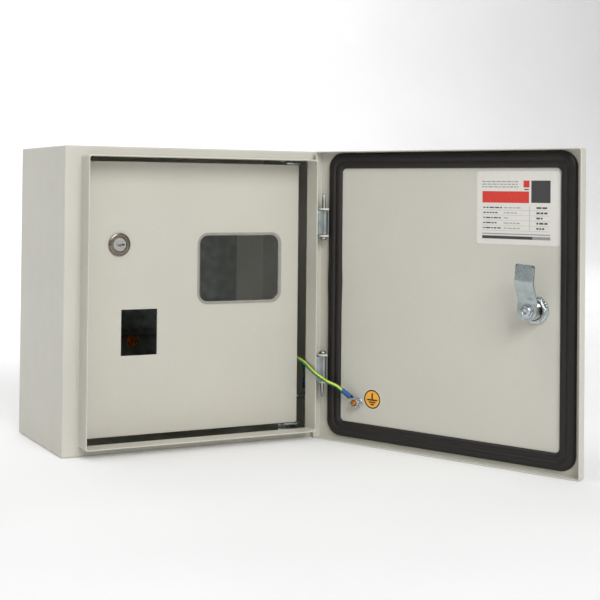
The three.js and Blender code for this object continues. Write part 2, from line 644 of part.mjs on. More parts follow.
// A keeper on the left wall, which the inner door's cam turns behind.
function addKeeper() {
  const f = INNER_FRONT_Y;
  const wall = -WIDTH / 2 + SHEET + GAP;
  const z = INNER_LOCK_Z;
  const foot = box(wall, wall + 1.5, f + 13.2, f + 40, z - 14, z + 14);
  const face = box(wall, wall + 22, f + 13.2, f + 14.9, z - 14, z + 14);
  addPart("inner_door_keeper", foot.add(face), PAINT);
}

// Brackets behind the front frame that hold the inner door's pivot pins.
function addPivots() {
  const names = ["upper", "lower"];
  const frameBack = -BODY_DEPTH + SHEET + GAP;
  [1, -1].forEach((way, i) => {
    const edge = way > 0 ? INNER_TOP : INNER_BOTTOM;
    const wall = way * (HEIGHT / 2 - SHEET - GAP);
    const tabNear = edge + way * 0.6;
    const tabFar = tabNear + way * 2;
    const z0 = Math.min(tabNear, tabFar);
    const z1 = Math.max(tabNear, tabFar);
    const tab = box(PIVOT_TAB_LEFT, PIVOT_TAB_RIGHT, INNER_FRONT_Y - 1, INNER_AXIS_Y + 9, z0, z1);
    const backLow = Math.min(tabNear, wall);
    const backHigh = Math.max(tabNear, wall);
    const riser = box(
      PIVOT_TAB_LEFT, PIVOT_TAB_RIGHT, INNER_AXIS_Y + 7.4, INNER_AXIS_Y + 9, backLow, backHigh,
    );
    const footLow = Math.min(wall, wall - way * 1.6);
    const footHigh = Math.max(wall, wall - way * 1.6);
    const foot = box(
      PIVOT_TAB_LEFT, PIVOT_TAB_RIGHT, frameBack, INNER_AXIS_Y + 9, footLow, footHigh,
    );
    const bore = bar("z", z0 - 1, z1 + 1, [INNER_AXIS_X, INNER_AXIS_Y], PIN_R + PIN_CLEAR);
    addPart(`inner_pivot_bracket_${names[i]}`, tab.add(riser).add(foot).subtract(bore), ZINC);
    const pinLow = Math.min(tabFar + way * 1.4, edge - way * 6);
    const pinHigh = Math.max(tabFar + way * 1.4, edge - way * 6);
    const shaft = bar("z", pinLow, pinHigh, [INNER_AXIS_X, INNER_AXIS_Y], PIN_R);
    const capA = edge - way * (2 + GAP);
    const capB = edge - way * 6;
    const cap = bar("z", Math.min(capA, capB), Math.max(capA, capB), [INNER_AXIS_X, INNER_AXIS_Y], 3.4);
    addPart(`inner_pivot_pin_${names[i]}`, shaft.add(cap), STEEL);
  });
}

addCabinetShell();
addBackPanel();
const fixings = addPlateFixings();
addMountingPlate(fixings);
addRail(fixings);
addPlateEarth(fixings);
const wireStart = addSideEarth();
addKnuckles();
addPivots();
addKeeper();
addOuterDoorPanel();
addGasket();
addHingeBrackets();
addHingePins();
addOuterLock();
addOuterCam();
const wireEnd = addDoorEarth();
addEarthWire(wireStart, wireEnd);
addLabels();
addInnerDoor();
addWindow();
addInnerLock();

export default group;
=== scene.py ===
import math
import random

import bmesh
import bpy
from mathutils import Matrix, Vector, noise


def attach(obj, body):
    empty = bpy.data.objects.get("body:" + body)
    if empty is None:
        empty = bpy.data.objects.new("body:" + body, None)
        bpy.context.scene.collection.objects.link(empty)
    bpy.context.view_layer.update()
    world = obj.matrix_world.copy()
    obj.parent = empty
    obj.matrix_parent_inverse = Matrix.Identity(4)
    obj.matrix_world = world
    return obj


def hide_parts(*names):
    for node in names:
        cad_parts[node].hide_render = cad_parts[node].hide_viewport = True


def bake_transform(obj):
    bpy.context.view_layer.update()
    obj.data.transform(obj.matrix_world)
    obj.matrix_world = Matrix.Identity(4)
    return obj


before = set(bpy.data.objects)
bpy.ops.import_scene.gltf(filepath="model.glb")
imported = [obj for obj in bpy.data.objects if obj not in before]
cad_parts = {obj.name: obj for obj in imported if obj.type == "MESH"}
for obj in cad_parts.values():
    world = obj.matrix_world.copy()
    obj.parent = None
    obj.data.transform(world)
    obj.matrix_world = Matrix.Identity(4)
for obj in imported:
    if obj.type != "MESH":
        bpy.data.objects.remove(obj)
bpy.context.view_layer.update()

MM = 0.001

# Main sizes in millimetres, as the cabinet is built.
WIDTH, HEIGHT = 300.0, 310.0
BODY_DEPTH, LIP_DEPTH, SHEET, GAP = 142.0, 22.0, 1.2, 0.3
INSET_LEFT, INSET_RIGHT, INSET_ENDS = 17.6, 22.0, 9.4
OVERALL_DEPTH, DOOR_PAN = 170.0, 12.0
DOOR_OPEN_DEG = 114.7
AXIS_X, AXIS_Y = 138.5, -158.3
HINGE_Z = {"upper": 78.2, "lower": -78.7}
HINGE_HALF = 15.4
LOCK_S = 250.6
CAM_REACH = 45.0
CAM_TAIL = -9.6
CAM_LOW, CAM_HIGH, CAM_THICK = 18.5, 29.6, 2.4
CAM_LEAN = math.radians(4)
DOOR_STUD = (50.5, -112.0)
LUG_RISE = math.atan2(12.5, 15)
INNER_Y = -133.0
INNER_AXIS = (115.5, -127.5)
INNER_LOCK = (-87.8, 55.4)

INNER_DOOR = (-128.0, 121.8, -139.6, 140.2)
PIVOTS = (("upper", 1, INNER_DOOR[3]), ("lower", -1, INNER_DOOR[2]))
PIN_BORE = 2.34
WALL_HOLE_X, WALL_HOLE_Z, WALL_HOLE_R = 125, 135, 4
PLATE_HALF_W, PLATE_HALF_H, PLATE_THICK = 108, 120, 1.8
SPACER = 9
WIRE_RADIUS = 2.0
DOOR_BODIES = ("outer_door", "outer_cam", "pin_upper", "pin_lower")

# The camera's place is in metres and its turns are in degrees.
CAMERA_PLACE = (-0.5473, -1.2974, 0.1113)
CAMERA_TURNS = (25.715, 0.74, 0.625)
CAMERA_LENS, CAMERA_SENSOR = 73.54, 36
CAMERA_SHIFT = (0.1507, -0.2087)

FLOOR_Z = -0.1552
FLOOR_FRONT, FLOOR_BEND, BEND_RADIUS, FLOOR_HALF_W, BACKDROP_HEIGHT = -4, 2.2, 1.2, 6, 5
FLOOR_GLOW = 0.08

SWING = (
    Matrix.Translation((AXIS_X * MM, AXIS_Y * MM, 0))
    @ Matrix.Rotation(math.radians(DOOR_OPEN_DEG), 4, "Z")
    @ Matrix.Translation((-AXIS_X * MM, -AXIS_Y * MM, 0))
)


def linked(name, data):
    """A new object in the scene."""
    obj = bpy.data.objects.new(name, data)
    bpy.context.collection.objects.link(obj)
    return obj


def door_x(s):
    return WIDTH / 2 - s


def door_y(n):
    return n - OVERALL_DEPTH


# ---------------------------------------------------------------- camera


def add_camera():
    data = bpy.data.cameras.new("camera")
    camera = linked("camera", data)
    yaw, pitch, roll = (math.radians(a) for a in CAMERA_TURNS)
    ahead = Vector((math.sin(yaw) * math.cos(pitch), math.cos(yaw) * math.cos(pitch), math.sin(pitch)))
    right = Vector((math.cos(yaw), -math.sin(yaw), 0))
    up = right.cross(ahead)
    side = math.cos(roll) * right + math.sin(roll) * up
    top = -math.sin(roll) * right + math.cos(roll) * up
    x, y, z = CAMERA_PLACE
    camera.matrix_world = Matrix((
        (side.x, top.x, -ahead.x, x),
        (side.y, top.y, -ahead.y, y),
        (side.z, top.z, -ahead.z, z),
        (0, 0, 0, 1),
    ))
    data.sensor_width = CAMERA_SENSOR
    data.lens = CAMERA_LENS
    data.shift_x, data.shift_y = CAMERA_SHIFT
    data.dof.use_dof = False
    bpy.context.scene.camera = camera


add_camera()


# ---------------------------------------------------------------- materials


class Nodes:
    """Short calls for building one material's node tree."""

    def __init__(self, name):
        self.material = bpy.data.materials.new(name)
        self.material.use_nodes = True
        self.tree = self.material.node_tree
        self.shader = self.tree.nodes["Principled BSDF"]

    def add(self, kind, **values):
        node = self.tree.nodes.new(kind)
        for key, value in values.items():
            if hasattr(node, key):
                setattr(node, key, value)
            else:
                node.inputs[key.replace("_", " ")].default_value = value
        return node

    def link(self, a, b):
        self.tree.links.new(a, b)

    def set(self, **values):
        for key, value in values.items():
            self.shader.inputs[key.replace("_", " ")].default_value = value

    def feed(self, **outputs):
        """Links outputs to the shader's sockets of the same names."""
        for key, output in outputs.items():
            self.link(output, self.shader.inputs[key.replace("_", " ")])

    def coords(self, kind="Object"):
        return self.add("ShaderNodeTexCoord").outputs[kind]

    def noise(self, coords, scale, detail=4.0, rough=0.55):
        node = self.add("ShaderNodeTexNoise", Scale=scale, Detail=detail, Roughness=rough)
        self.link(coords, node.inputs["Vector"])
        return node.outputs["Fac"]

    def ramp(self, fac, *stops):
        node = self.add("ShaderNodeValToRGB")
        self.link(fac, node.inputs["Fac"])
        ramp = node.color_ramp
        while len(ramp.elements) < len(stops):
            ramp.elements.new(0.5)
        for element, (place, colour) in zip(ramp.elements, stops):
            element.position = place
            element.color = colour if len(colour) == 4 else (*colour, 1)
        return node.outputs["Color"]

    def map(self, value, low, high, out_low, out_high):
        node = self.add("ShaderNodeMapRange")
        self.link(value, node.inputs["Value"])
        numbers = (low, high, out_low, out_high)
        for key, number in zip(("From Min", "From Max", "To Min", "To Max"), numbers):
            node.inputs[key].default_value = number
        return node.outputs["Result"]

    def mix(self, fac, a, b):
        """Mixes two colour outputs, by a fixed share or by another output."""
        node = self.add("ShaderNodeMix", data_type="RGBA")
        if isinstance(fac, float):
            node.inputs["Factor"].default_value = fac
        else:
            self.link(fac, node.inputs["Factor"])
        self.link(a, node.inputs[6])
        self.link(b, node.inputs[7])
        return node.outputs[2]

    def bump(self, height, strength, distance, normal=None):
        node = self.add("ShaderNodeBump", Strength=strength, Distance=distance)
        self.link(height, node.inputs["Height"])
        if normal is not None:
            self.link(normal, node.inputs["Normal"])
        return node.outputs["Normal"]


def linear(*rgb):
    return tuple(((c / 255 + 0.055) / 1.055) ** 2.4 if c > 10 else c / 255 / 12.92 for c in rgb)


def tint(colour, factor):
    return tuple(min(1.0, c * factor) for c in colour)


def powder_coat(name, colour, rough=0.42):
    m = Nodes(name)
    at = m.coords()
    cloud = m.noise(at, 9, 3)
    speck = m.noise(at, 900, 2)
    base = m.ramp(cloud, (0.3, tint(colour, 0.955)), (0.7, tint(colour, 1.03)))
    fine = m.ramp(speck, (0.35, tint(colour, 0.93)), (0.65, tint(colour, 1.04)))
    m.feed(Base_Color=m.mix(0.35, base, fine))
    gloss = m.map(m.noise(at, 40, 4), 0.3, 0.7, rough - 0.05, rough + 0.08)
    m.feed(Roughness=gloss)
    peel = m.noise(at, 420, 2, 0.5)
    wave = m.noise(at, 110, 1, 0.4)
    broad = m.bump(wave, 0.25, 0.0002)
    m.feed(Normal=m.bump(peel, 0.22, 0.0001, broad))
    m.set(Specular_IOR_Level=0.5)
    return m.material


def bright_metal(name, colour, rough, grain=(1, 1, 1), mottle=0.12):
    m = Nodes(name)
    at = m.coords()
    mapping = m.add("ShaderNodeMapping")
    mapping.inputs["Scale"].default_value = grain
    m.link(at, mapping.inputs["Vector"])
    scratch = m.noise(mapping.outputs["Vector"], 260, 6, 0.7)
    patch = m.noise(at, 85, 3)
    base = m.ramp(patch, (0.3, tint(colour, 1 - mottle)), (0.7, tint(colour, 1 + mottle)))
    m.feed(Base_Color=base)
    m.feed(Roughness=m.map(scratch, 0.25, 0.75, rough - 0.08, rough + 0.16))
    m.feed(Normal=m.bump(scratch, 0.2, 0.00006))
    m.set(Metallic=1.0)
    return m.material


def foam_rubber(name, colour):
    m = Nodes(name)
    at = m.coords()
    cell = m.noise(at, 1500, 3, 0.7)
    cloud = m.noise(at, 60, 3)
    base = m.ramp(cloud, (0.3, tint(colour, 0.8)), (0.7, tint(colour, 1.35)))
    m.feed(Base_Color=base)
    m.feed(Roughness=m.map(cloud, 0.3, 0.7, 0.42, 0.6))
    m.feed(Normal=m.bump(cell, 0.35, 0.00012))
    m.set(Specular_IOR_Level=0.45)
    return m.material


def striped_wire(name):
    m = Nodes(name)
    uv = m.coords("UV")
    split = m.add("ShaderNodeSeparateXYZ")
    m.link(uv, split.inputs["Vector"])
    stripe = m.ramp(
        split.outputs["X"],
        (0.0, (0, 0, 0)), (0.50, (0, 0, 0)), (0.52, (1, 1, 1)), (0.66, (1, 1, 1)), (0.68, (0, 0, 0)),
    )
    at = m.coords()
    dust = m.noise(at, 700, 3)
    green = m.ramp(dust, (0.3, linear(0, 108, 72)), (0.7, linear(8, 142, 96)))
    yellow = m.ramp(dust, (0.3, linear(196, 200, 40)), (0.7, linear(232, 230, 84)))
    m.feed(Base_Color=m.mix(stripe, green, yellow))
    m.feed(Roughness=m.map(dust, 0.3, 0.7, 0.34, 0.46))
    m.feed(Normal=m.bump(dust, 0.1, 0.00005))
    return m.material


def plastic(name, colour, rough=0.4, scale=600.0, depth=0.1, vary=0.08):
    m = Nodes(name)
    at = m.coords()
    grain = m.noise(at, scale, 3)
    base = m.ramp(grain, (0.3, tint(colour, 1 - vary)), (0.7, tint(colour, 1 + vary)))
    m.feed(Base_Color=base)
    m.feed(Roughness=m.map(grain, 0.3, 0.7, rough - 0.05, rough + 0.07))
    m.feed(Normal=m.bump(grain, depth, 0.00005))
    return m.material


def clear_cover(name):
    m = Nodes(name)
    at = m.coords()
    haze = m.noise(at, 30, 3)
    colour = m.ramp(haze, (0.3, linear(66, 68, 64)), (0.7, linear(80, 82, 77)))
    m.feed(Base_Color=colour)
    m.feed(Roughness=m.map(haze, 0.3, 0.7, 0.04, 0.1))
    m.feed(Alpha=m.map(m.noise(at, 240, 4, 0.7), 0.3, 0.7, 0.14, 0.19))
    m.set(Specular_IOR_Level=1.0, IOR=1.5)
    m.feed(Normal=m.bump(m.noise(at, 12, 1), 0.04, 0.0004))
    return m.material


PAINT = powder_coat("paint", linear(205, 203, 192))
PAINT_DOOR = powder_coat("paint_door", linear(206, 204, 193), 0.46)
PAINT_INSIDE = powder_coat("paint_inside", linear(198, 195, 184), 0.5)
ZINC = bright_metal("zinc", linear(196, 202, 204), 0.24)
CAM_STEEL = bright_metal("cam_steel", linear(176, 186, 187), 0.2, mottle=0.1)
# the inner lock case's nickel is darker than its own colour: painted shade for the gap ring between case and
# plug
NICKEL_PAINTED_SHADE = bright_metal("nickel_painted_shade", linear(118, 110, 101), 0.2)
GALVANISED = bright_metal("galvanised", linear(128, 136, 133), 0.42, mottle=0.3)
ZINC_DULL = bright_metal("zinc_dull", linear(158, 166, 168), 0.36, mottle=0.2)
CAST = bright_metal("cast_zinc", linear(168, 166, 162), 0.24)
STEEL = bright_metal("steel", linear(176, 180, 180), 0.28, grain=(1, 1, 0.08))
COPPER = bright_metal("copper", linear(226, 138, 66), 0.26)
RUBBER = foam_rubber("seal", linear(27, 24, 21))
WIRE = striped_wire("wire")
SLEEVE = plastic("sleeve", linear(24, 84, 140), 0.38)
LABEL = plastic("label_film", linear(224, 222, 215), 0.5, 300, 0.05, 0.02)
INK_DARK = plastic("ink_dark", linear(66, 66, 66), 0.5, 400, 0.05)
INK_GREY = plastic("ink_grey", linear(150, 150, 148), 0.5, 400, 0.05)
INK_RED = plastic("ink_red", linear(214, 62, 52), 0.45, 400, 0.05)
INK_BLACK = plastic("ink_black", linear(34, 28, 22), 0.45, 400, 0.05)
ORANGE = plastic("orange_film", linear(250, 178, 58), 0.42, 300, 0.05, 0.04)
GLASS = clear_cover("clear_cover")


# ---------------------------------------------------------------- mesh helpers


def piece(name, bm, material, body, smooth=35.0, more=(), node=None):
    """Links a finished shape, in millimetres, as one piece riding on a body.

    Unless a node is given, the piece replaces the one its name starts with, up to the last word.
    """
    mesh = to_mesh(name, bm)
    mesh.transform(Matrix.Scale(MM, 4))
    if body in DOOR_BODIES:
        mesh.transform(SWING)
    mesh.materials.append(material)
    for extra in more:
        mesh.materials.append(extra)
    mesh.validate()
    mesh.update()
    if smooth:
        mesh.shade_smooth()
        mesh.set_sharp_from_angle(angle=math.radians(smooth))
    obj = linked(name, mesh)
    if body:
        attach(obj, body)
    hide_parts(node or name.rsplit("_", 1)[0])
    return obj


def to_mesh(name, bm):
    bmesh.ops.recalc_face_normals(bm, faces=bm.faces)
    mesh = bpy.data.meshes.new(name)
    bm.to_mesh(mesh)
    bm.free()
    return mesh


def transformed(bm, matrix):
    """Moves a whole shape by a matrix."""
    bmesh.ops.transform(bm, matrix=matrix, verts=bm.verts)
    return bm


def bridge(bm, pairs):
    """Fills in the faces between pairs of rings that have as many corners."""
    for a, b in pairs:
        for i in range(len(a)):
            j = (i + 1) % len(a)
            bm.faces.new((a[i], a[j], b[j], b[i]))


def turned_ring(bm, sides, height, radius_at):
    """A level ring of corners round the Z axis, with a radius for each corner."""
    row = []
    for i in range(sides):
        radius, angle = radius_at(i), 2 * math.pi * i / sides
        row.append(bm.verts.new((radius * math.cos(angle), radius * math.sin(angle), height)))
    return row


def rounded_loop(x0, x1, z0, z1, radius, steps=6):
    """Points round a rectangle with rounded corners, always 4 * (steps + 1) of them."""
    radius = max(radius, 0.01)
    points = []
    corners = (
        (x1 - radius, z0 + radius, -90), (x1 - radius, z1 - radius, 0),
        (x0 + radius, z1 - radius, 90), (x0 + radius, z0 + radius, 180),
    )
    for cx, cz, start in corners:
        for i in range(steps + 1):
            angle = math.radians(start + 90 * i / steps)
            points.append((cx + radius * math.cos(angle), cz + radius * math.sin(angle)))
    return points


def loft(rings, capped=False, steps=6, divide=0):
    """Joins rounded rectangles (x0, x1, z0, z1, y, radius) into a closed loop, or caps both ends."""
    bm = bmesh.new()
    rows = []
    for x0, x1, z0, z1, y, radius in rings:
        loop = rounded_loop(x0, x1, z0, z1, radius, steps)
        points = []
        for i, (x, z) in enumerate(loop):
            points.append((x, z))
            if divide and i % (steps + 1) == steps:
                nx, nz = loop[(i + 1) % len(loop)]
                points += [
                    (x + (nx - x) * k / divide, z + (nz - z) * k / divide) for k in range(1, divide)
                ]
        rows.append([bm.verts.new((x, y, z)) for x, z in points])
    bridge(bm, zip(rows, rows[1:]))
    if capped:
        bm.faces.new(rows[0])
        bm.faces.new(rows[-1])
    else:
        bridge(bm, [(rows[-1], rows[0])])
    return bm


def arc_points(cx, cy, radius, start, end, steps):
    """Points on an arc, as (inset, depth) pairs."""
    out = []
    for i in range(steps + 1):
        angle = math.radians(start + (end - start) * i / steps)
        out.append((cx + radius * math.cos(angle), cy + radius * math.sin(angle)))
    return out


def lathe(profile, sides=48, centre=(0, 0, 0), axis="z"):
    """Turns (radius, height) points round an axis. The profile starts and ends on the axis or closes."""
    bm = bmesh.new()
    rows = []
    for radius, height in profile:
        if radius < 1e-6:
            rows.append([bm.verts.new((0, 0, height))])
            continue
        rows.append(turned_ring(bm, sides, height, lambda i: radius))
    pairs = list(zip(rows, rows[1:]))
    if len(rows[0]) > 1:
        pairs.append((rows[-1], rows[0]))
    for a, b in pairs:
        for i in range(sides):
            j = (i + 1) % sides
            if len(a) == 1 and len(b) == 1:
                continue
            if len(a) == 1:
                bm.faces.new((a[0], b[i], b[j]))
            elif len(b) == 1:
                bm.faces.new((a[i], a[j], b[0]))
            else:
                bm.faces.new((a[i], a[j], b[j], b[i]))
    return place(bm, centre, axis)


def place(bm, centre, axis):
    """Turns a shape built along +Z to lie along another axis, then moves it."""
    turn = {
        "z": Matrix(),
        "y": Matrix.Rotation(math.radians(-90), 4, "X"),
        "x": Matrix.Rotation(math.radians(90), 4, "Y"),
        "-z": Matrix.Rotation(math.radians(180), 4, "X"),
        "-y": Matrix.Rotation(math.radians(90), 4, "X"),
    }[axis]
    return transformed(bm, Matrix.Translation(centre) @ turn)


def flat_plate(name, outlines, thick, edge=0.25):
    """A plate from one outline and holes, in X and Z, with a small rounded edge. Its front is at y = 0."""
    curve = bpy.data.curves.new(name, "CURVE")
    curve.dimensions = "2D"
    curve.fill_mode = "BOTH"
    for outline in outlines:
        spline = curve.splines.new("POLY")
        spline.points.add(len(outline) - 1)
        for point, (x, z) in zip(spline.points, outline):
            point.co = (x, z, 0, 1)
        spline.use_cyclic_u = True
    curve.extrude = thick / 2 - edge
    curve.bevel_depth = edge
    curve.bevel_resolution = 2
    curve.offset = -edge
    obj = bpy.data.objects.new(name, curve)
    bpy.context.collection.objects.link(obj)
    bpy.context.view_layer.update()
    made = bpy.data.meshes.new_from_object(obj.evaluated_get(bpy.context.evaluated_depsgraph_get()))
    bpy.data.objects.remove(obj)
    bpy.data.curves.remove(curve)
    bm = bmesh.new()
    bm.from_mesh(made)
    bpy.data.meshes.remove(made)
    bmesh.ops.remove_doubles(bm, verts=bm.verts, dist=0.002)
    bmesh.ops.rotate(bm, cent=(0, 0, 0), matrix=Matrix.Rotation(math.radians(90), 3, "X"), verts=bm.verts)
    bmesh.ops.translate(bm, vec=(0, thick / 2, 0), verts=bm.verts)
    return bm


def disc(radius, height, edge=0.2, bore=0):
    """Profile of a disc or washer with small chamfers on its rim."""
    return [
        (bore, 0), (radius - edge, 0), (radius, edge), (radius, height - edge), (radius - edge, height),
        (bore, height),
    ]


def circle(cx, cz, radius, sides=40):
    return [
        (cx + radius * math.cos(2 * math.pi * i / sides), cz + radius * math.sin(2 * math.pi * i / sides))
        for i in range(sides)
    ]


def join(*shapes):
    """Puts several bmeshes into the first one."""
    first = shapes[0]
    for other in shapes[1:]:
        mesh = bpy.data.meshes.new("part")
        other.to_mesh(mesh)
        other.free()
        first.from_mesh(mesh)
        bpy.data.meshes.remove(mesh)
    return first


def block(x0, x1, y0, y1, z0, z1, edge=0.3, segments=2):
    """A box with rounded edges."""
    bm = bmesh.new()
    bmesh.ops.create_cube(bm, size=1)
    size = Matrix.Diagonal((x1 - x0, y1 - y0, z1 - z0, 1))
    move = Matrix.Translation(((x0 + x1) / 2, (y0 + y1) / 2, (z0 + z1) / 2))
    transformed(bm, move @ size)
    if edge:
        bmesh.ops.bevel(
            bm, geom=list(bm.edges), offset=edge, segments=segments, profile=0.5, affect="EDGES",
        )
    return bm


def moved(bm, x=0.0, y=0.0, z=0.0):
    bmesh.ops.translate(bm, vec=(x, y, z), verts=bm.verts)
    return bm


def hex_head(width, height, bore=0.0):
    """A hexagon nut, or a head with a dished top, with chamfered corners, from z = 0 up."""
    flat, corner = width / 2, width / math.sqrt(3)
    sides = 48
    bm = bmesh.new()

    def six(limit):
        def radius_at(i):
            angle = (2 * math.pi * i / sides) % (math.pi / 3) - math.pi / 6
            return min(flat / math.cos(angle), limit)
        return radius_at

    chamfer = (corner - flat) * 0.9
    levels = [(0, flat * 0.98), (chamfer * 0.5, corner)]
    levels += [(height - chamfer * 0.5, corner), (height, flat * 0.98)]
    rows = [turned_ring(bm, sides, h, six(limit)) for h, limit in levels]
    if bore:
        inside = ((height, bore + 0.35), (height - 0.35, bore), (0.35, bore), (0, bore + 0.35))
        rows += [turned_ring(bm, sides, h, lambda i, r=r: r) for h, r in inside]
        bridge(bm, [*zip(rows, rows[1:]), (rows[-1], rows[0])])
        return bm
    bridge(bm, zip(rows, rows[1:]))
    bm.faces.new(rows[0])
    dish = ((height, flat * 0.78), (height - 0.5, flat * 0.66), (height - 0.5, flat * 0.3))
    top = [turned_ring(bm, sides, h, lambda i, r=r: r) for h, r in dish]
    chain = [rows[-1], *top]
    bridge(bm, zip(chain, chain[1:]))
    bm.faces.new(top[-1])
    return bm


def threaded(radius, start, end, pitch):
    """Profile points for a threaded rod: a sawtooth of fine rings and a chamfered tip."""
    depth, tip = pitch * 0.35, 0.6
    points = [(0, start), (radius - depth, start)]
    h = start + tip
    while h < end - tip - pitch:
        points.append((radius - depth, h))
        points.append((radius, h + pitch * 0.4))
        points.append((radius, h + pitch * 0.6))
        h += pitch
    points.append((radius - depth, end - tip))
    points.append((radius - depth - tip * 0.6, end))
    points.append((0, end))
    return points


# ---------------------------------------------------------------- cabinet

HALF_W, HALF_H = WIDTH / 2, HEIGHT / 2


def wall(inset, y, radius):
    """A ring of the cabinet's or the door's outside, for loft."""
    return (-HALF_W + inset, HALF_W - inset, -HALF_H + inset, HALF_H - inset, y, radius)


def add_cabinet_shell():
    """The folded shell: sides, front frame and lip as one bent sheet with a radius at each fold."""
    left, right = -HALF_W + INSET_LEFT, HALF_W - INSET_RIGHT
    low, high = -HALF_H + INSET_ENDS, HALF_H - INSET_ENDS
    front, lip_front = -BODY_DEPTH, -BODY_DEPTH - LIP_DEPTH

    def mouth(inset, y, radius):
        return (left + inset, right - inset, low + inset, high - inset, y, radius)

    rings = [wall(0.15, 0, 2.0), wall(0, -0.2, 2.0)]
    fold = arc_points(1.8, front + 1.8, 1.8, 180, 270, 6)
    rings += [wall(inset, y, 2.0 - inset * 0.4) for inset, y in fold]
    rings += [mouth(inset, y, 2.5) for inset, y in arc_points(-1.3, front - 1.3, 1.3, 90, 0, 5)]
    rings += [mouth(inset, y, 2.4) for inset, y in arc_points(SHEET / 2, lip_front + 0.6, 0.6, 180, 360, 6)]
    rings += [mouth(inset, y, 1.6) for inset, y in arc_points(-1.3, front - 1.3, 2.5, 0, 90, 6)]
    rings += [wall(inset, y, 1.4) for inset, y in arc_points(1.8, front + 1.8, 0.6, 270, 180, 4)]
    rings += [wall(SHEET, -0.2, 1.2), wall(SHEET - 0.15, 0, 1.2)]
    bm = loft(rings)
    piece("cabinet_shell_sheet", bm, PAINT, "cabinet", smooth=50)


def add_back_panel():
    half_w, half_h = HALF_W - SHEET - GAP, HALF_H - SHEET - GAP
    outlines = [rounded_loop(-half_w, half_w, -half_h, half_h, 0.6)]
    for x in (-WALL_HOLE_X, WALL_HOLE_X):
        for z in (-WALL_HOLE_Z, WALL_HOLE_Z):
            outlines.append(circle(x, z, WALL_HOLE_R))
    bm = moved(flat_plate("back", outlines, SHEET, 0.2), y=-SHEET)
    piece("back_panel_sheet", bm, PAINT, "cabinet")


PLATE_BACK = -SHEET - GAP - SPACER - GAP
PLATE_FRONT = PLATE_BACK - PLATE_THICK
PLATE_HOLES = {
    "upper_left": (-98, 110), "upper_right": (98, 110), "lower_left": (-98, -110), "lower_right": (98, -110),
}
RAIL_Z = -33.5
RAIL_BOLTS = {"left": -80, "right": 62}
EARTH = (-23, -59)


def add_mounting_plate():
    outlines = [rounded_loop(-PLATE_HALF_W, PLATE_HALF_W, -PLATE_HALF_H, PLATE_HALF_H, 3)]
    outlines += [circle(x, z, 2.9, 24) for x, z in PLATE_HOLES.values()]
    outlines += [circle(x, RAIL_Z, 2.7, 24) for x in RAIL_BOLTS.values()]
    outlines.append(circle(*EARTH, 3.4, 24))
    bm = moved(flat_plate("plate", outlines, PLATE_THICK, 0.3), y=PLATE_FRONT)
    piece("mounting_plate_sheet", bm, GALVANISED, "cabinet")
    for name, (x, z) in PLATE_HOLES.items():
        rear = -SHEET - GAP
        foot = lathe(disc(5.5, SPACER, 0.3), 32, (x, rear, z), "-y")
        rod = lathe(threaded(2.5, 8.5, 20.1, 0.8), 28, (x, rear, z), "-y")
        piece(f"plate_stud_{name}_turned", join(foot, rod), ZINC, "cabinet")
        nut = place(hex_head(8, 4, 2.7), (x, PLATE_FRONT - GAP, z), "-y")
        piece(f"plate_nut_{name}_cut", nut, ZINC, "cabinet")


def add_rail():
    """Top-hat rail with rolled corners and a row of slots."""
    back = PLATE_FRONT - GAP
    middle = [(-13.5, -1.6), (-13.5, -5.5)]
    outer = [(-13.0, -0.3), (-12.5, 0), (12.5, 0), (13.0, -0.3)]
    section = [*middle[::-1], *outer, (13.5, -1.0), (13.5, -6.1), (13.9, -6.5), (17.3, -6.5), (17.5, -6.7),
               (17.5, -7.3), (17.3, -7.5), (13.1, -7.5), (12.5, -6.9), (12.5, -1.6), (11.9, -1.0),
               (-11.9, -1.0), (-12.5, -1.6), (-12.5, -6.9), (-13.1, -7.5), (-17.3, -7.5), (-17.5, -7.3),
               (-17.5, -6.7), (-17.3, -6.5), (-13.9, -6.5)]
    bm = bmesh.new()
    ends = []
    for x in (-95, 95):
        ends.append([bm.verts.new((x, back + y, RAIL_Z + z)) for z, y in section])
    count = len(section)
    for i in range(count):
        j = (i + 1) % count
        bm.faces.new((ends[0][i], ends[0][j], ends[1][j], ends[1][i]))
    bm.faces.new(ends[0])
    bm.faces.new(ends[1])
    obj = piece("din_rail_rolled", bm, GALVANISED, "cabinet")
    cutters = []
    for x in range(-45, 46, 15):
        slot = flat_plate("slot", [rounded_loop(x - 5, x + 5, RAIL_Z - 2.6, RAIL_Z + 2.6, 2.55)], 6, 0.01)
        cutters.append(moved(slot, y=back - 4))
    for x in RAIL_BOLTS.values():
        cutters.append(lathe([(0, 0), (2.7, 0), (2.7, 6), (0, 6)], 24, (x, back + 2, RAIL_Z), "-y"))
    cut(obj, join(*cutters))
    for name, x in RAIL_BOLTS.items():
        seat = back - 1 - GAP
        shank = lathe([(0, 0), (2.45, 0), (2.45, 6.2), (0, 6.2)], 24, (x, seat - 0.4, RAIL_Z), "y")
        head = place(hex_head(8, 3.5), (x, seat, RAIL_Z), "-y")
        piece(f"rail_bolt_{name}_cut", join(head, shank), ZINC, "cabinet")


def cut(obj, cutter_bm):
    """Cuts a closed shape, in millimetres, out of a piece and keeps the result."""
    mesh = to_mesh("cutter", cutter_bm)
    mesh.transform(Matrix.Scale(MM, 4))
    cutter = linked("cutter", mesh)
    modifier = obj.modifiers.new("cut", "BOOLEAN")
    modifier.object = cutter
    modifier.operation = "DIFFERENCE"
    modifier.solver = "EXACT"
    bpy.context.view_layer.update()
    done = bpy.data.meshes.new_from_object(obj.evaluated_get(bpy.context.evaluated_depsgraph_get()))
    obj.modifiers.clear()
    old = obj.data
    obj.data = done
    bpy.data.meshes.remove(old)
    bpy.data.objects.remove(cutter)
    bpy.data.meshes.remove(mesh)
    done.set_sharp_from_angle(angle=math.radians(35))


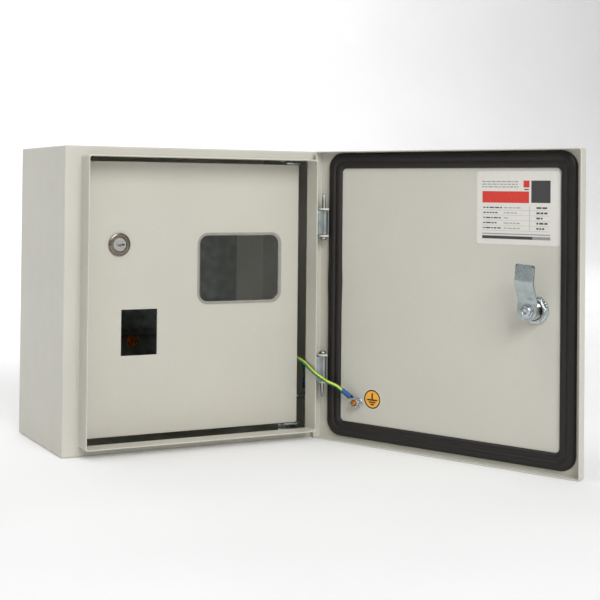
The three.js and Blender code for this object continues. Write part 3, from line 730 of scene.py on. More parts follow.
def add_plate_earth():
    x, z = EARTH
    seat = (x, PLATE_BACK + 2.5, z)
    flange = lathe(disc(6, 2.2), 32, seat, "-y")
    rod = lathe(threaded(3, 1, 20.3, 1.0), 32, seat, "-y")
    piece("plate_earth_stud_turned", join(flange, rod), COPPER, "cabinet")
    washer = lathe(disc(7, 1.2, bore=3.2), 40, (x, PLATE_FRONT - GAP, z), "-y")
    piece("plate_earth_washer_round", washer, COPPER, "cabinet")
    nut = place(hex_head(10, 5, 3.2), (x, PLATE_FRONT - GAP - 1.2 - GAP, z), "-y")
    piece("plate_earth_nut_cut", nut, COPPER, "cabinet")


def ring_lug(sleeve_start, sleeve_length, tilt, rise=2.5, hole=2.7, eye=5.0):
    """A flat ring terminal: its eye is at the origin and its sleeve, pressed twice, runs along +X."""
    rim = [(hole, -0.5), (eye - 0.2, -0.5), (eye, -0.35), (eye, 0.35), (eye - 0.2, 0.5), (hole, 0.5)]
    flat = lathe(rim, 40, axis="y")
    neck = block(3.6, sleeve_start + 1.2, -0.5, 0.5, -2, 2, 0.3)
    profile = [
        (0, 0), (1.9, 0), (2.5, 0.25), (2.9, 0.8), (2.9, 2.6), (2.62, 3.2), (2.62, 4.4), (2.9, 5.0),
        (2.9, 6.6), (2.62, 7.2), (2.62, 8.4), (2.9, 9.0), (2.9, sleeve_length - 0.5),
        (2.7, sleeve_length), (2.05, sleeve_length), (2.05, sleeve_length - 1.5), (0, sleeve_length - 1.5),
    ]
    sleeve = lathe(profile, 32, axis="x")
    bmesh.ops.rotate(sleeve, cent=(0, 0, 0), matrix=Matrix.Rotation(tilt, 3, "Z"), verts=sleeve.verts)
    moved(sleeve, x=sleeve_start, y=rise)
    return join(flat, neck), sleeve


def paint_runs(mesh, runs):
    """Gives each run of faces, as (count, index) pairs in order, one of the mesh's materials."""
    first = 0
    for count, index in runs:
        for face in mesh.polygons[first:first + count]:
            face.material_index = index
        first += count


def lug_piece(name, node, body, metal, sleeve):
    runs = [(len(metal.faces), 0), (len(sleeve.faces), 1)]
    obj = piece(name, join(metal, sleeve), ZINC, body, more=(SLEEVE,), node=node)
    paint_runs(obj.data, runs)


def add_side_earth():
    wall, y, z = 148.5, -114.0, -115.0
    seat = (wall, y, z)
    flange = lathe(disc(6, 2), 32, seat, "x")
    rod = lathe(threaded(2.5, 1, 17, 0.8), 28, seat, "x")
    for bm in (flange, rod):
        bmesh.ops.rotate(bm, cent=seat, matrix=Matrix.Rotation(math.pi, 3, "Z"), verts=bm.verts)
    piece("side_earth_stud_turned", join(flange, rod), ZINC_DULL, "cabinet")
    lug_left = wall - 2 - GAP - 1
    metal, sleeve = ring_lug(8.2, 11.5, 0.0, rise=2.4)
    upright = Matrix(((0, -1, 0, 0), (0, 0, -1, 0), (1, 0, 0, 0), (0, 0, 0, 1)))
    turn = Matrix.Translation((lug_left + 0.5, y, z)) @ upright
    for bm in (metal, sleeve):
        transformed(bm, turn)
    lug_piece("side_lug", "wire_lug_body", "cabinet", metal, sleeve)
    nut = place(hex_head(8, 4, 2.7), (lug_left - GAP - 4, y, z), "x")
    piece("side_earth_nut_cut", nut, ZINC, "cabinet")


def add_knuckles():
    """A rolled tube on a bent leaf, welded to the lip."""
    right = HALF_W - INSET_RIGHT
    half = HINGE_HALF - 2.4
    for name, z in HINGE_Z.items():
        bore, outer = PIN_BORE, 4.5
        tube = lathe(
            [(bore, -half), (outer - 0.3, -half), (outer, -half + 0.3), (outer, half - 0.3),
             (outer - 0.3, half), (bore, half)], 48, (AXIS_X, AXIS_Y, z),
        )
        face, low, high = AXIS_Y - outer, z - half, z + half
        web = block(right + 1.2, AXIS_X - 1.5, face + 0.02, face + 2, low, high, 0.4)
        leaf = block(right + GAP, right + GAP + 2, face + 0.02, -BODY_DEPTH - 4, low, high, 0.5)
        piece(f"hinge_knuckle_{name}_rolled", join(tube, web, leaf), ZINC_DULL, "cabinet")


def add_keeper():
    wall, z = -HALF_W + SHEET + GAP, INNER_LOCK[1]
    foot = block(wall, wall + 1.5, INNER_Y + 13.2, INNER_Y + 40, z - 14, z + 14, 0.4)
    face = block(wall, wall + 22, INNER_Y + 13.2, INNER_Y + 14.9, z - 14, z + 14, 0.5)
    piece("inner_door_keeper_bent", join(face, foot), PAINT, "cabinet")


def add_pivot_brackets():
    frame_back = -BODY_DEPTH + SHEET + GAP
    x0, x1 = INNER_AXIS[0] - 9.5, INNER_AXIS[0] + 14.5
    rear = INNER_AXIS[1] + 9
    for name, way, edge in PIVOTS:
        wall = way * (HALF_H - SHEET - GAP)
        near = edge + way * 0.6
        outline = rounded_loop(x0, x1, INNER_Y - 1, rear, 1.5)
        tab = flat_plate("tab", [outline, circle(*INNER_AXIS, PIN_BORE, 24)], 2, 0.3)
        transformed(tab, Matrix.Rotation(math.radians(-90), 4, "X"))
        zs = [v.co.z for v in tab.verts]
        moved(tab, z=min(near, near + way * 2) - min(zs))
        riser = block(x0, x1, rear - 1.6, rear, min(near, wall), max(near, wall), 0.3)
        foot = block(x0, x1, frame_back, rear, min(wall, wall - way * 1.6), max(wall, wall - way * 1.6), 0.3)
        piece(f"inner_pivot_bracket_{name}_bent", join(tab, riser, foot), ZINC, "cabinet")


# ---------------------------------------------------------------- outer door


def add_door_panel():
    """The pan: a flat sheet with four walls folded in, closed at the corners."""
    out, back = door_y(0), door_y(DOOR_PAN)
    rings = [wall(inset, y, 2.2) for inset, y in arc_points(1.7, out + 1.7, 1.7, 270, 180, 6)]
    rings += [wall(inset, y, 2.0) for inset, y in arc_points(0.6, back - 0.6, 0.6, 180, 0, 6)]
    rings += [wall(inset, y, 1.2) for inset, y in arc_points(1.8, out + 1.8, 0.6, 180, 270, 4)]
    bm = loft(rings, capped=True)
    obj = piece(
        "outer_door_pan", bm, PAINT_DOOR, "outer_door", smooth=50,
        node="outer_door_panel",
    )
    cutter = lathe([(0, -3), (9.9, -3), (9.9, 5), (0, 5)], 48, (door_x(LOCK_S), door_y(0), 0), "y")
    transformed(cutter, Matrix.Scale(MM, 4))
    transformed(cutter, SWING)
    transformed(cutter, Matrix.Scale(1 / MM, 4))
    cut(obj, cutter)


def add_gasket():
    """Poured foam seal: an outer band, a groove and a lower inner band, with a join on the hinge side."""
    left, right = door_x(292.5), door_x(12.5)
    low, high = -150.3, 153.2
    foot, width = SHEET + GAP, 16.5
    section = [
        (0.0, 0.0), (0.05, 1.0), (0.5, 2.0), (1.4, 2.9), (2.8, 3.6), (4.4, 3.95), (6.0, 4.05), (7.4, 3.85),
        (8.4, 3.3), (9.0, 2.6), (9.7, 2.35), (10.4, 2.7), (11.4, 3.1), (12.8, 3.15), (14.2, 2.8), (15.5, 1.9),
        (16.3, 0.9), (width, 0.0),
    ]
    rings = []
    for inset, rise in section:
        radius = 16 - inset * 0.68
        rings.append((left + inset, right - inset, low + inset, high - inset, door_y(foot + rise), radius))
    bm = loft(rings, steps=12, divide=26)
    middle = (left + right) / 2
    for v in bm.verts:
        rise = v.co.y - door_y(foot)
        if rise > 0.3:
            v.co.y += 0.16 * noise.noise(v.co * 0.035)
        swell = math.exp(-((v.co.z - 14) / 16) ** 2)
        if v.co.x > middle + 100 and abs(v.co.z) < 60:
            spread = (v.co.x - (right - width / 2)) / (width / 2)
            v.co.x += swell * (0.9 * spread - 0.1) if spread > 0 else swell * 0.7 * spread
    piece("door_gasket_foam", bm, RUBBER, "outer_door", smooth=60)


def add_hinge_brackets():
    base = SHEET + GAP
    ear_r = 6.8
    start, stop = door_x(12.3), door_x(3.5)
    for name, z in HINGE_Z.items():
        seat = block(start, stop, door_y(base), door_y(base + 2), z - HINGE_HALF, z + HINGE_HALF, 0.6, 3)
        shapes = [seat]
        outline = [(AXIS_X + ear_r, door_y(base) + 0.3)]
        for i in range(25):
            angle = math.pi * i / 24
            outline.append((AXIS_X + ear_r * math.cos(angle), AXIS_Y + ear_r * math.sin(angle)))
        outline += [(start, door_y(7)), (start, door_y(base) + 0.3)]
        for top in (z + HINGE_HALF - 2, z - HINGE_HALF):
            ear = flat_plate("ear", [outline, circle(AXIS_X, AXIS_Y, PIN_BORE, 24)], 2, 0.35)
            # the plate's outline was drawn in X and Z, so it is turned to lie in X and Y
            for v in ear.verts:
                v.co = Vector((v.co.x, v.co.z, v.co.y + top))
            shapes.append(ear)
        piece(f"hinge_bracket_{name}_bent", join(*shapes), PAINT_DOOR, "outer_door")


def add_hinge_pins():
    for name, z in HINGE_Z.items():
        start = -HINGE_HALF - GAP
        head = [(0, 3.2), (1.6, 3.15), (2.7, 2.8), (3.4, 2.1), (3.6, 1.4), (3.6, 0.2), (3.4, 0), (2.25, 0)]
        tip = [(2.25, 2.5), (2.1, 4), (1.45, 13.4), (1.15, 14.6), (0.6, 15.2), (0, 15.2)]
        profile = [(r, start - h) for r, h in head] + [(r, HINGE_HALF + h) for r, h in tip]
        axis = "z" if name == "upper" else "-z"
        bm = lathe(profile, 36, (AXIS_X, AXIS_Y, z), axis)
        piece(f"hinge_pin_{name}_turned", bm, STEEL, f"pin_{name}")


def lean(bm):
    """Turns a part of the cam by its resting lean about the lock's axis."""
    axis = (door_x(LOCK_S), 0, 0)
    bmesh.ops.rotate(bm, cent=axis, matrix=Matrix.Rotation(-CAM_LEAN, 3, "Y"), verts=bm.verts)
    return bm


def upright_ring(bm, centre, sides, radius_at):
    """One ring of corners round a Y axis, with a radius for each corner and angle."""
    x, y, z = centre
    row = []
    for i in range(sides):
        angle = 2 * math.pi * i / sides
        radius = radius_at(i, angle)
        row.append(bm.verts.new((x + radius * math.cos(angle), y, z + radius * math.sin(angle))))
    return row


def add_outer_lock():
    centre = (door_x(LOCK_S), door_y(0), 0)
    cx = centre[0]
    # fixed case: rim outside the door, threaded barrel inside
    profile = [(6.09, -2.6), (6.5, -3.0), (11.8, -3.0), (12.6, -2.6), (13.0, -1.8), (13.0, -GAP), (9.2, -GAP)]
    h = 1.2
    while h < CAM_LOW - 3.2:
        profile += [(9.0, h), (9.5, h + 0.45), (9.5, h + 0.65), (9.0, h + 1.1)]
        h += 1.25
    end = CAM_LOW - 1.5
    profile += [(9.0, end - 0.6), (8.5, end), (6.5, end), (6.09, end - 0.4)]
    case = lathe(profile, 56, centre, "y")
    # two flats are milled along the thread
    for v in case.verts:
        if v.co.y > door_y(1.0) and math.hypot(v.co.x - cx, v.co.z) > 8:
            v.co.x = cx + max(-8.3, min(8.3, v.co.x - cx))
    piece("outer_lock_case_turned", case, CAST, "outer_door", smooth=28)

    # nut with a toothed flange under it
    teeth = 30
    sides = teeth * 4
    base = SHEET + GAP
    bm = bmesh.new()

    def toothed(radius, depth):
        return lambda i, angle: radius - (depth if i % 4 in (0, 1) else 0)

    def six(limit):
        return lambda i, angle: min(11.0 / math.cos((angle % (math.pi / 3)) - math.pi / 6), limit)

    def round_at(radius):
        return lambda i, angle: radius

    levels = (
        (base, toothed(14.2, 1.3)), (base + 0.7, toothed(14.3, 1.2)), (base + 1.3, toothed(13.4, 0.5)),
        (base + 1.5, round_at(12.7)), (3.1, six(12.5)), (7.4, six(12.5)), (8.0, six(11.6)),
        (8.0, round_at(10.4)), (7.6, round_at(9.8)), (base + 0.3, round_at(9.8)), (base, round_at(10.1)),
    )
    rows = [upright_ring(bm, (cx, door_y(n), 0), sides, shape) for n, shape in levels]
    bridge(bm, [*zip(rows, rows[1:]), (rows[-1], rows[0])])
    piece("outer_lock_nut_toothed", bm, ZINC, "outer_door", smooth=28)

    end = CAM_LOW - 0.4
    plug = lathe(
        [(0, -1.4), (3.4, -1.4), (3.6, -2.2), (5.6, -2.4), (6.0, -2.0), (6.0, end - 0.5), (5.5, end),
         (0, end)], 48, centre, "y",
    )
    square = block(cx - 3.5, cx + 3.5, door_y(end - 0.3), door_y(CAM_LOW + CAM_THICK), -3.5, 3.5, 0.4)
    wing = block(cx - 3.0, cx + 3.0, door_y(-2.3), door_y(-1.2), -0.7, 0.7, 0.2)
    piece("outer_lock_plug_cast", lean(join(plug, square, wing)), CAST, "outer_cam")
    add_outer_cam(cx)
    seat = (cx, door_y(CAM_LOW + CAM_THICK + 0.3), 0)
    collar = lathe([(0, 0), (6.3, 0), (6.6, 0.3), (6.6, 0.8), (6.1, 1.1), (0, 1.1)], 48, seat, "y")
    # the head is domed and has a round recess
    head = lathe(
        [(0, 0.9), (5.6, 0.9), (5.7, 1.5), (5.45, 2.9), (4.9, 3.8), (4.1, 4.3), (2.9, 4.3), (2.7, 4.0),
         (2.6, 2.4), (0, 2.1)], 48, seat, "y",
    )
    piece("outer_cam_bolt_cut", lean(join(head, collar)), ZINC, "outer_cam")


def cam_path():
    """Points (z, n) along the cam's near face: flat, up a slope with soft bends, flat again."""
    z0, z1, low, high = 10.0, 26.5, CAM_LOW, CAM_HIGH
    slope = (high - low) / (z1 - z0)
    path = [(CAM_TAIL, low), (z0 - 2.5, low)]
    for i in range(1, 8):
        t = i / 7
        path.append((z0 - 2.5 + 5 * t, low + slope * 2.5 * t * t))
    for i in range(8):
        t = i / 7
        path.append((z1 - 2.5 + 5 * t, high - slope * 2.5 * (1 - t) ** 2))
    path.append((CAM_REACH, high))
    dense = []
    for (za, na), (zb, nb) in zip(path, path[1:]):
        pieces = max(1, int(abs(zb - za) / 1.2))
        for i in range(pieces):
            dense.append((za + (zb - za) * i / pieces, na + (nb - na) * i / pieces))
    dense.append(path[-1])
    return dense


def add_outer_cam(cx):
    """A stamped cam, bent twice so that its tip stands further from the door."""
    half, thick = 9.5, CAM_THICK
    bm = bmesh.new()
    columns = 18
    rows = []
    for z, n in cam_path():
        reach = half
        if z < -0.1:
            reach = math.sqrt(max(half * half - (z + 0.1) ** 2, 0.4))
        if z > CAM_REACH - 1.5:
            reach = half - 1.5 + math.sqrt(max(2.25 - (z - CAM_REACH + 1.5) ** 2, 0))
        across = [-reach + 2 * reach * i / columns for i in range(columns + 1)]
        loop = []
        for x in across:
            lift = 0.3 if abs(x) > reach - 0.4 else 0
            loop.append((cx + x, door_y(n) + lift, z))
        for x in reversed(across):
            lift = 0.3 if abs(x) > reach - 0.4 else 0
            loop.append((cx + x, door_y(n + thick) - lift, z))
        rows.append([bm.verts.new(p) for p in loop])
    bridge(bm, zip(rows, rows[1:]))
    bm.faces.new(rows[0])
    bm.faces.new(rows[-1])
    piece("outer_lock_cam_stamped", lean(bm), CAM_STEEL, "outer_cam", smooth=40)


def add_door_earth():
    x, z = door_x(DOOR_STUD[0]), DOOR_STUD[1]
    base = SHEET + GAP
    weld = lathe([(0, 0), (5.6, 0), (6, 0.4), (6, 0.9), (5.7, 1.2), (0, 1.2)], 36, (x, door_y(base), z), "y")
    rod = lathe(
        [*threaded(3.0, 0.5, 8.6, 1.0)[:-1], (2.7, 8.6), (2.5, 9.3), (1.8, 9.8), (0, 10.0)], 36,
        (x, door_y(base), z), "y",
    )
    runs = [(len(rod.faces), 0), (len(weld.faces), 1)]
    stud = piece("door_earth_stud_turned", join(rod, weld), COPPER, "outer_door", more=(ZINC,))
    paint_runs(stud.data, runs)
    lug_n = base + 1.2 + GAP
    metal, sleeve = ring_lug(8.2, 11.5, 0.36, hole=3.2, eye=5.4)
    turn = Matrix.Translation((x, door_y(lug_n + 0.5), z)) @ Matrix.Rotation(-LUG_RISE, 4, "Y")
    for bm in (metal, sleeve):
        transformed(bm, turn)
    lug_piece("door_lug", "wire_lug_door", "outer_door", metal, sleeve)
    washer = serrated(3.2, 6.3, 18, (x, door_y(lug_n + 1.3), z))
    piece("door_earth_washer_round", washer, ZINC, "outer_door")
    nut = place(hex_head(10, 4, 3.2), (x, door_y(lug_n + 2.6), z), "y")
    piece("door_earth_nut_cut", nut, ZINC, "outer_door")


def serrated(inner, outer, teeth, centre):
    """A washer with shallow notches round its rim."""
    x, y, z = centre
    bm = bmesh.new()
    sides = teeth * 4

    def notched(depth):
        return lambda i, angle: outer - depth - (0.7 if i % 4 in (0, 1) else 0)

    levels = [(rise, notched(depth)) for rise, depth in ((0.0, 0.0), (0.25, 0.0), (0.8, 0.0), (1.0, 0.3))]
    levels += [(rise, lambda i, angle: inner) for rise in (1.0, 0.0)]
    rows = [upright_ring(bm, (x, y + rise, z), sides, shape) for rise, shape in levels]
    bridge(bm, [*zip(rows, rows[1:]), (rows[-1], rows[0])])
    return bm


# ---------------------------------------------------------------- labels


def strip(bm, x0, x1, z0, z1, n, index, faces):
    """A printed patch, a hair proud of the film, as one thin slab."""
    part = block(x0, x1, door_y(n), door_y(n + 0.04), z0, z1, 0)
    faces.append((len(part.faces), index))
    return join(bm, part)


def add_data_label():
    """A plate with ruled rows, bars and blocks in place of any printed words."""
    s0, s1, z0, z1 = 188.0, 275.0, 61.7, 133.5
    n0, n1 = SHEET + 0.02, SHEET + 0.24
    film = flat_plate("film", [rounded_loop(door_x(s1), door_x(s0), z0, z1, 3)], n1 - n0, 0.05)
    moved(film, y=door_y(n0))
    faces = [(len(film.faces), 0)]
    rng = random.Random(5)

    def mark(s_a, s_b, z_a, z_b, index):
        nonlocal film
        # s runs towards the free edge, so the left of the label is the low s
        film = strip(film, door_x(s_b), door_x(s_a), z_a, z_b, n1, index, faces)

    def words(s_a, s_b, z, height, index):
        s = s_a
        while s < s_b - 1.5:
            long = min(rng.uniform(1.6, 5.2), s_b - s)
            mark(s, s + long, z, z + height, index)
            s += long + 0.9
    for row in range(3):
        words(193.6, 233, 122.8 - row * 2.6, 1.0, 2)
    mark(237.4, 243.7, 117.7, 124.4, 3)
    mark(238.2, 242.9, 115.2, 116.2, 1)
    mark(245.6, 265.2, 102.9, 124.4, 1)
    mark(194, 243.3, 102.5, 113.8, 3)
    for row in range(5):
        z = 97.6 - row * 5.0
        mark(194, 265.2, z - 2.3, z - 2.1, 2)
        words(195, rng.uniform(209, 216), z - 0.4, 1.2, 1)
        words(217, rng.uniform(222, 236), z - 0.3, 0.9, 2)
        words(251, rng.uniform(257, 264), z - 0.5, 1.7, 1)
    mark(243.8, 244.1, 75.2, 99.8, 2)
    mark(194, 265.2, 71.6, 72.6, 2)
    mark(194, 247, 67.2, 70.2, 1)
    mark(247, 265.2, 67.2, 70.2, 2)
    obj = piece(
        "data_label_print", film, LABEL, "outer_door", smooth=0,
        more=(INK_DARK, INK_GREY, INK_RED),
    )
    paint_runs(obj.data, faces)


def add_earth_label():
    """Round film with a ring and the plain earthing symbol."""
    x, z = door_x(68.4), -106.9
    n0, n1 = SHEET + 0.02, SHEET + 0.24
    white = lathe([(0, 0), (10.8, 0), (10.8, n1 - n0), (0, n1 - n0)], 64, (x, door_y(n0), z), "y")
    faces = [(len(white.faces), 0)]
    shapes = [white]
    ring = lathe([(8.6, 0), (10.0, 0), (10.0, 0.04), (8.6, 0.04)], 64, (x, door_y(n1), z), "y")
    field = lathe([(0, 0), (8.8, 0), (8.8, 0.03), (0, 0.03)], 64, (x, door_y(n1), z), "y")
    faces += [(len(ring.faces), 2), (len(field.faces), 1)]
    shapes += [ring, field]
    for half_w, z_a, z_b in ((0.9, -0.4, 6.3), (6.2, -1.6, 0.1), (4.2, -3.9, -2.5), (2.2, -6.3, -4.8)):
        bar = block(x - half_w, x + half_w, door_y(n1 + 0.03), door_y(n1 + 0.06), z + z_a, z + z_b, 0)
        faces.append((len(bar.faces), 2))
        shapes.append(bar)
    obj = piece(
        "earth_label_print", join(*shapes), LABEL, "outer_door", smooth=0,
        more=(ORANGE, INK_BLACK),
    )
    paint_runs(obj.data, faces)


# ---------------------------------------------------------------- inner door


def add_inner_door():
    x0, x1, z0, z1 = INNER_DOOR
    t = 1.5
    outlines = [rounded_loop(x0, x1, z0, z1, 1.0)]
    outlines.append(rounded_loop(-84.5, -44.8, -58.2, -11.2, 0.6, 3))
    outlines.append(rounded_loop(3.4, 97, -5.4, 64, 9, 8))
    outlines.append(circle(*INNER_LOCK, 10.2))
    sheet = moved(flat_plate("inner", outlines, t, 0.4), y=INNER_Y)
    back = INNER_Y + 8
    shapes = [sheet, block(x0, x0 + t, INNER_Y + t / 2, back, z0 + 3, z1 - 3, 0.4)]
    for low, high in ((z1 - t, z1), (z0, z0 + t)):
        shapes.append(block(x0 + 3, INNER_AXIS[0] - 12, INNER_Y + t / 2, back, low, high, 0.4))
    for z, way in ((z1, -1), (z0, 1)):
        ear = flat_plate(
            "ear", [rounded_loop(INNER_AXIS[0] - 5, INNER_AXIS[0] + 5, INNER_Y + 0.7, INNER_AXIS[1] + 5, 1.2),
                    circle(*INNER_AXIS, 2.3, 24)], 2, 0.3,
        )
        bottom = min(z, z + way * 2)
        for v in ear.verts:
            v.co = Vector((v.co.x, v.co.z, v.co.y + bottom))
        shapes.append(ear)
    piece(
        "inner_door_sheet", join(*shapes), PAINT_INSIDE, "inner_door",
        node="inner_door_panel",
    )


def add_window():
    """Clear cover with a rounded rim in front and a step that fills the hole."""
    x0, x1, z0, z1 = 0.4, 100.0, -8.4, 67.0
    f = INNER_Y - GAP
    def rim(inset, y, radius):
        return (x0 + inset, x1 - inset, z0 + inset, z1 - inset, y, radius)
    rings = [rim(6.0, f - 1.2, 7.0), rim(5.2, f - 1.3, 7.6), rim(4.4, f - 2.0, 8.4), rim(3.4, f - 2.2, 9.2)]
    rings += [rim(1.0, f - 2.2, 11.2), rim(0.3, f - 1.8, 11.8), rim(0, f - 1.2, 12), rim(0, f, 12)]
    rings += [rim(3.6, f, 8.6), rim(3.6, INNER_Y + 1.8, 8.6), rim(3.9, INNER_Y + 2.0, 8.4)]
    bm = loft(rings, capped=True, steps=10)
    shapes = [bm]
    for x, side in ((x0 + 3.4, -1), (x1 - 3.4, 1)):
        a, b = sorted((x - side * 4, x + side * 2.4))
        for z in ((z0 + z1) / 2 - 22, (z0 + z1) / 2 + 22):
            shapes.append(block(a, b, INNER_Y + 1.8, INNER_Y + 3.3, z - 4, z + 4, 0.2))
    piece("inner_window_cover", join(*shapes), GLASS, "inner_door", smooth=40)


def add_inner_lock():
    cx, cz = INNER_LOCK
    f = INNER_Y
    profile = [
        (7.7, -2.2 - GAP), (8.1, -2.5), (10.6, -2.5), (11.5, -2.1), (11.8, -1.4), (11.8, -GAP), (9.6, -GAP),
    ]
    h = 2.0
    while h < 14.0:
        profile += [(9.4, h), (9.8, h + 0.4), (9.8, h + 0.6), (9.4, h + 1.0)]
        h += 1.15
    profile += [(9.4, 14.6), (9.1, 15), (7.7, 15)]
    case = lathe(profile, 56, (cx, f, cz), "y")
    # the case's darkened nickel is painted shade from the gap between case and plug
    piece("inner_lock_case_turned", case, NICKEL_PAINTED_SHADE, "inner_door")
    nut = hex_head(24, 5, 10.0)
    transformed(nut, Matrix.Rotation(math.pi / 6, 4, "Z"))
    place(nut, (cx, f + 1.5 + GAP, cz), "y")
    piece("inner_lock_nut_cut", nut, ZINC, "inner_door")
    profile = [(0, -2.0), (6.9, -2.1), (7.6, -1.6), (7.6, 15.0), (7.2, 15.4), (0, 15.4)]
    plug = lathe(profile, 48, (cx, f, cz), "y")
    square = block(cx - 3.5, cx + 3.5, f + 15.1, f + 18, cz - 3.5, cz + 3.5, 0.4)
    obj = piece("inner_lock_plug_cast", join(plug, square), CAST, "inner_cam")
    cut(obj, block(cx - 5.2, cx + 5.2, f - 4, f + 2.6, cz - 0.85, cz + 0.85, 0))
    cut(obj, block(cx - 3.4, cx + 1.6, f - 4, f + 2.6, cz - 1.7, cz + 0.1, 0))
    cam = flat_plate("cam", [rounded_loop(cx - 8, cx + 8, cz - 10, cz + 44, 4)], 2, 0.4)
    moved(cam, y=f + 15.8)
    piece("inner_lock_cam_stamped", cam, ZINC, "inner_cam")
    head = place(hex_head(9, 3.2), (cx, f + 18.3, cz), "y")
    piece("inner_cam_screw_cut", head, ZINC, "inner_cam")


def add_pivot_pins():
    for name, way, edge in PIVOTS:
        far = edge + way * 4.0
        near = edge - way * 6
        cap = edge - way * (2 + GAP)
        length = abs(far - near)
        step = abs(near - cap)
        profile = [(0, 0), (3.0, 0), (3.4, 0.4), (3.4, step - 0.3), (3.1, step), (2.25, step),
                   (2.25, length - 0.5), (1.8, length), (0, length)]
        bm = lathe(profile, 32, (*INNER_AXIS, near), "z" if way > 0 else "-z")
        piece(f"inner_pivot_pin_{name}_turned", bm, STEEL, "inner_door")


# ---------------------------------------------------------------- earth wire


def door_point(x, y, z):
    return SWING @ Vector((x * MM, y * MM, z * MM))


def catmull(points, per):
    """A centripetal curve through the points, sampled evenly between each pair."""
    pts = [2 * points[0] - points[1], *points, 2 * points[-1] - points[-2]]
    out = []
    for i in range(1, len(pts) - 2):
        p0, p1, p2, p3 = pts[i - 1:i + 3]
        t0 = 0
        t1 = t0 + (p1 - p0).length ** 0.5
        t2 = t1 + (p2 - p1).length ** 0.5
        t3 = t2 + (p3 - p2).length ** 0.5
        for k in range(per):
            t = t1 + (t2 - t1) * k / per
            a1 = p0 * ((t1 - t) / (t1 - t0)) + p1 * ((t - t0) / (t1 - t0))
            a2 = p1 * ((t2 - t) / (t2 - t1)) + p2 * ((t - t1) / (t2 - t1))
            a3 = p2 * ((t3 - t) / (t3 - t2)) + p3 * ((t - t2) / (t3 - t2))
            b1 = a1 * ((t2 - t) / (t2 - t0)) + a2 * ((t - t0) / (t2 - t0))
            b2 = a2 * ((t3 - t) / (t3 - t1)) + a3 * ((t - t1) / (t3 - t1))
            out.append(b1 * ((t2 - t) / (t2 - t1)) + b2 * ((t - t1) / (t2 - t1)))
    out.append(points[-1])
    return out


def wire_route():
    start = Vector((143.3, -114.0, -94.7)) * MM
    tilt, lift = 0.36, LUG_RISE
    x, z = door_x(DOOR_STUD[0]), DOOR_STUD[1]
    lug_n = SHEET + GAP + 1.2 + GAP
    ends = []
    for along in (11.5 + 7, 11.5 - 0.8):
        p = Vector((along, 0, 0))
        p.rotate(Matrix.Rotation(tilt, 3, "Z"))
        p += Vector((8.2, 2.5, 0))
        p.rotate(Matrix.Rotation(-lift, 3, "Y"))
        p += Vector((x, door_y(lug_n + 0.5), z))
        ends.append(door_point(*p))
    middle = [
        (142.3, -114.5, -86.7), (137, -117, -76.5), (128.8, -122, -71.6), (124.35, -131, -71.2),
        (124.35, -143, -73.5), (124.5, -156, -78.2), (125.2, -167, -82.8), (130, -171.3, -86.8),
        (137, -171.2, -91.2),
    ]
    return [start - Vector((0, 0, 1.0)) * MM, *[Vector(p) * MM for p in middle], *ends]


def add_wire():
    path = catmull(wire_route(), 12)
    radius = WIRE_RADIUS * MM
    sides = 20
    bm = bmesh.new()
    uv = bm.loops.layers.uv.new("UVMap")
    tangent = (path[1] - path[0]).normalized()
    side = tangent.cross(Vector((0, 1, 0))).normalized()
    rows = []
    for i, p in enumerate(path):
        a, b = path[max(i - 1, 0)], path[min(i + 1, len(path) - 1)]
        tangent = (b - a).normalized()
        side = (side - tangent * side.dot(tangent)).normalized()
        other = tangent.cross(side)
        twist = 0.25 * i / len(path) * math.pi
        angles = [2 * math.pi * k / sides + twist for k in range(sides)]
        rows.append([bm.verts.new(p + radius * (math.cos(a) * side + math.sin(a) * other)) for a in angles])
    for r, (a, b) in enumerate(zip(rows, rows[1:])):
        for k in range(sides):
            m = (k + 1) % sides
            face = bm.faces.new((a[k], a[m], b[m], b[k]))
            around = (k / sides, (k + 1) / sides, (k + 1) / sides, k / sides)
            for loop, u, v in zip(face.loops, around, (r, r, r + 1, r + 1)):
                loop[uv].uv = (u, v / len(rows))
    bm.faces.new(rows[0])
    bm.faces.new(rows[-1])
    transformed(bm, Matrix.Scale(1 / MM, 4))
    obj = piece("earth_wire_lead", bm, WIRE, None, smooth=60)
    # the lead follows the cabinet up to the first point and the door from the second
    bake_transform(obj)


# ---------------------------------------------------------------- build


add_wire()
add_cabinet_shell()
add_back_panel()
add_mounting_plate()
add_rail()
add_plate_earth()
add_side_earth()
add_knuckles()
add_keeper()
add_pivot_brackets()
add_door_panel()
add_gasket()
add_hinge_brackets()
add_hinge_pins()
add_outer_lock()
add_door_earth()
add_data_label()
add_earth_label()
add_inner_door()
add_window()
add_inner_lock()
add_pivot_pins()


# ---------------------------------------------------------------- stage and light


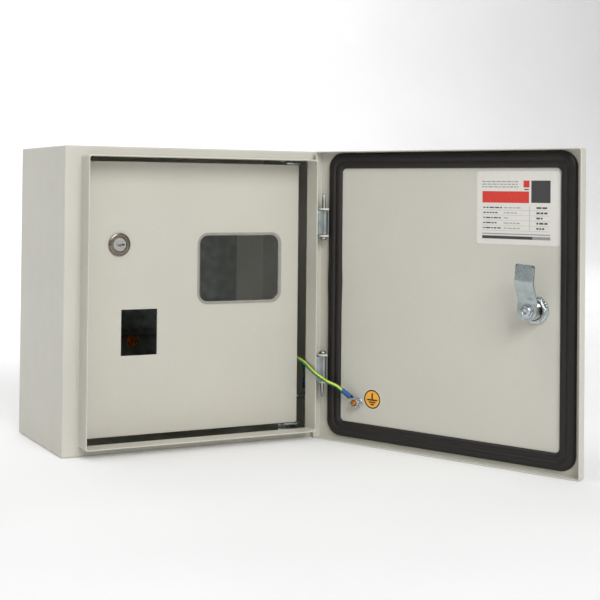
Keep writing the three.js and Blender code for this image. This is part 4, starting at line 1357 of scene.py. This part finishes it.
def add_stage():
    m = Nodes("floor")
    at = m.coords()
    soft = m.noise(at, 3, 2)
    m.feed(Base_Color=m.ramp(soft, (0.3, (0.86, 0.86, 0.86)), (0.7, (0.9, 0.9, 0.9))))
    m.set(Roughness=0.9, Specular_IOR_Level=0.1, Emission_Strength=FLOOR_GLOW)
    m.shader.inputs["Emission Color"].default_value = (1, 1, 1, 1)
    bm = bmesh.new()
    depth = [(FLOOR_FRONT, 0), (FLOOR_BEND, 0)]
    for i in range(1, 13):
        angle = math.radians(90 * i / 12)
        depth.append((FLOOR_BEND + BEND_RADIUS * math.sin(angle), BEND_RADIUS * (1 - math.cos(angle))))
    depth.append((3.4, BACKDROP_HEIGHT))
    rows = [[bm.verts.new((x, y, FLOOR_Z + z)) for x in (-FLOOR_HALF_W, FLOOR_HALF_W)] for y, z in depth]
    for a, b in zip(rows, rows[1:]):
        bm.faces.new((a[0], a[1], b[1], b[0]))
    mesh = to_mesh("floor", bm)
    mesh.materials.append(m.material)
    mesh.shade_smooth()
    linked("floor", mesh)


def add_light(name, place, aim, size, power):
    data = bpy.data.lights.new(name, "AREA")
    data.shape = "RECTANGLE"
    data.size, data.size_y = size
    data.energy = power
    obj = linked(name, data)
    obj.location = place
    obj.rotation_euler = (Vector(aim) - Vector(place)).to_track_quat("-Z", "Y").to_euler()


def add_lights():
    world = bpy.data.worlds.new("studio")
    world.use_nodes = True
    tree = world.node_tree
    background = tree.nodes["Background"]
    split = tree.nodes.new("ShaderNodeSeparateXYZ")
    tree.links.new(tree.nodes.new("ShaderNodeTexCoord").outputs["Generated"], split.inputs[0])
    # bright overhead and dim at eye level
    ramp = tree.nodes.new("ShaderNodeMapRange")
    for key, value in (("From Min", -0.1), ("From Max", 0.9), ("To Min", 0.08), ("To Max", 0.5)):
        ramp.inputs[key].default_value = value
    tree.links.new(split.outputs["Z"], ramp.inputs["Value"])
    tree.links.new(ramp.outputs["Result"], background.inputs["Strength"])
    background.inputs["Color"].default_value = (1, 1, 1, 1)
    bpy.context.scene.world = world
    add_light("key", (-0.2, -2.4, 1.4), (0.05, -0.1, 0), (1.2, 1.2), 38)
    add_light("fill", (0.9, -2.4, 0.3), (0.1, -0.1, 0), (1.4, 1.4), 4)
    add_light("top", (-0.8, -0.13, 2.05), (0.2, -0.3, 0), (1.0, 1.0), 8)
    add_light("backdrop", (0, 1.0, 2.4), (0, 3.4, 1.0), (5, 1), 90)
    bpy.context.scene.view_settings.view_transform = "Standard"


# wide flat faces keep one shade right up to their rounded edges
for name in ("cabinet_shell_sheet", "back_panel_sheet", "outer_door_pan", "inner_door_sheet",
             "mounting_plate_sheet"):
    even = bpy.data.objects[name].modifiers.new("even_normals", "WEIGHTED_NORMAL")
    even.keep_sharp = True
    even.weight = 100

add_stage()
add_lights()
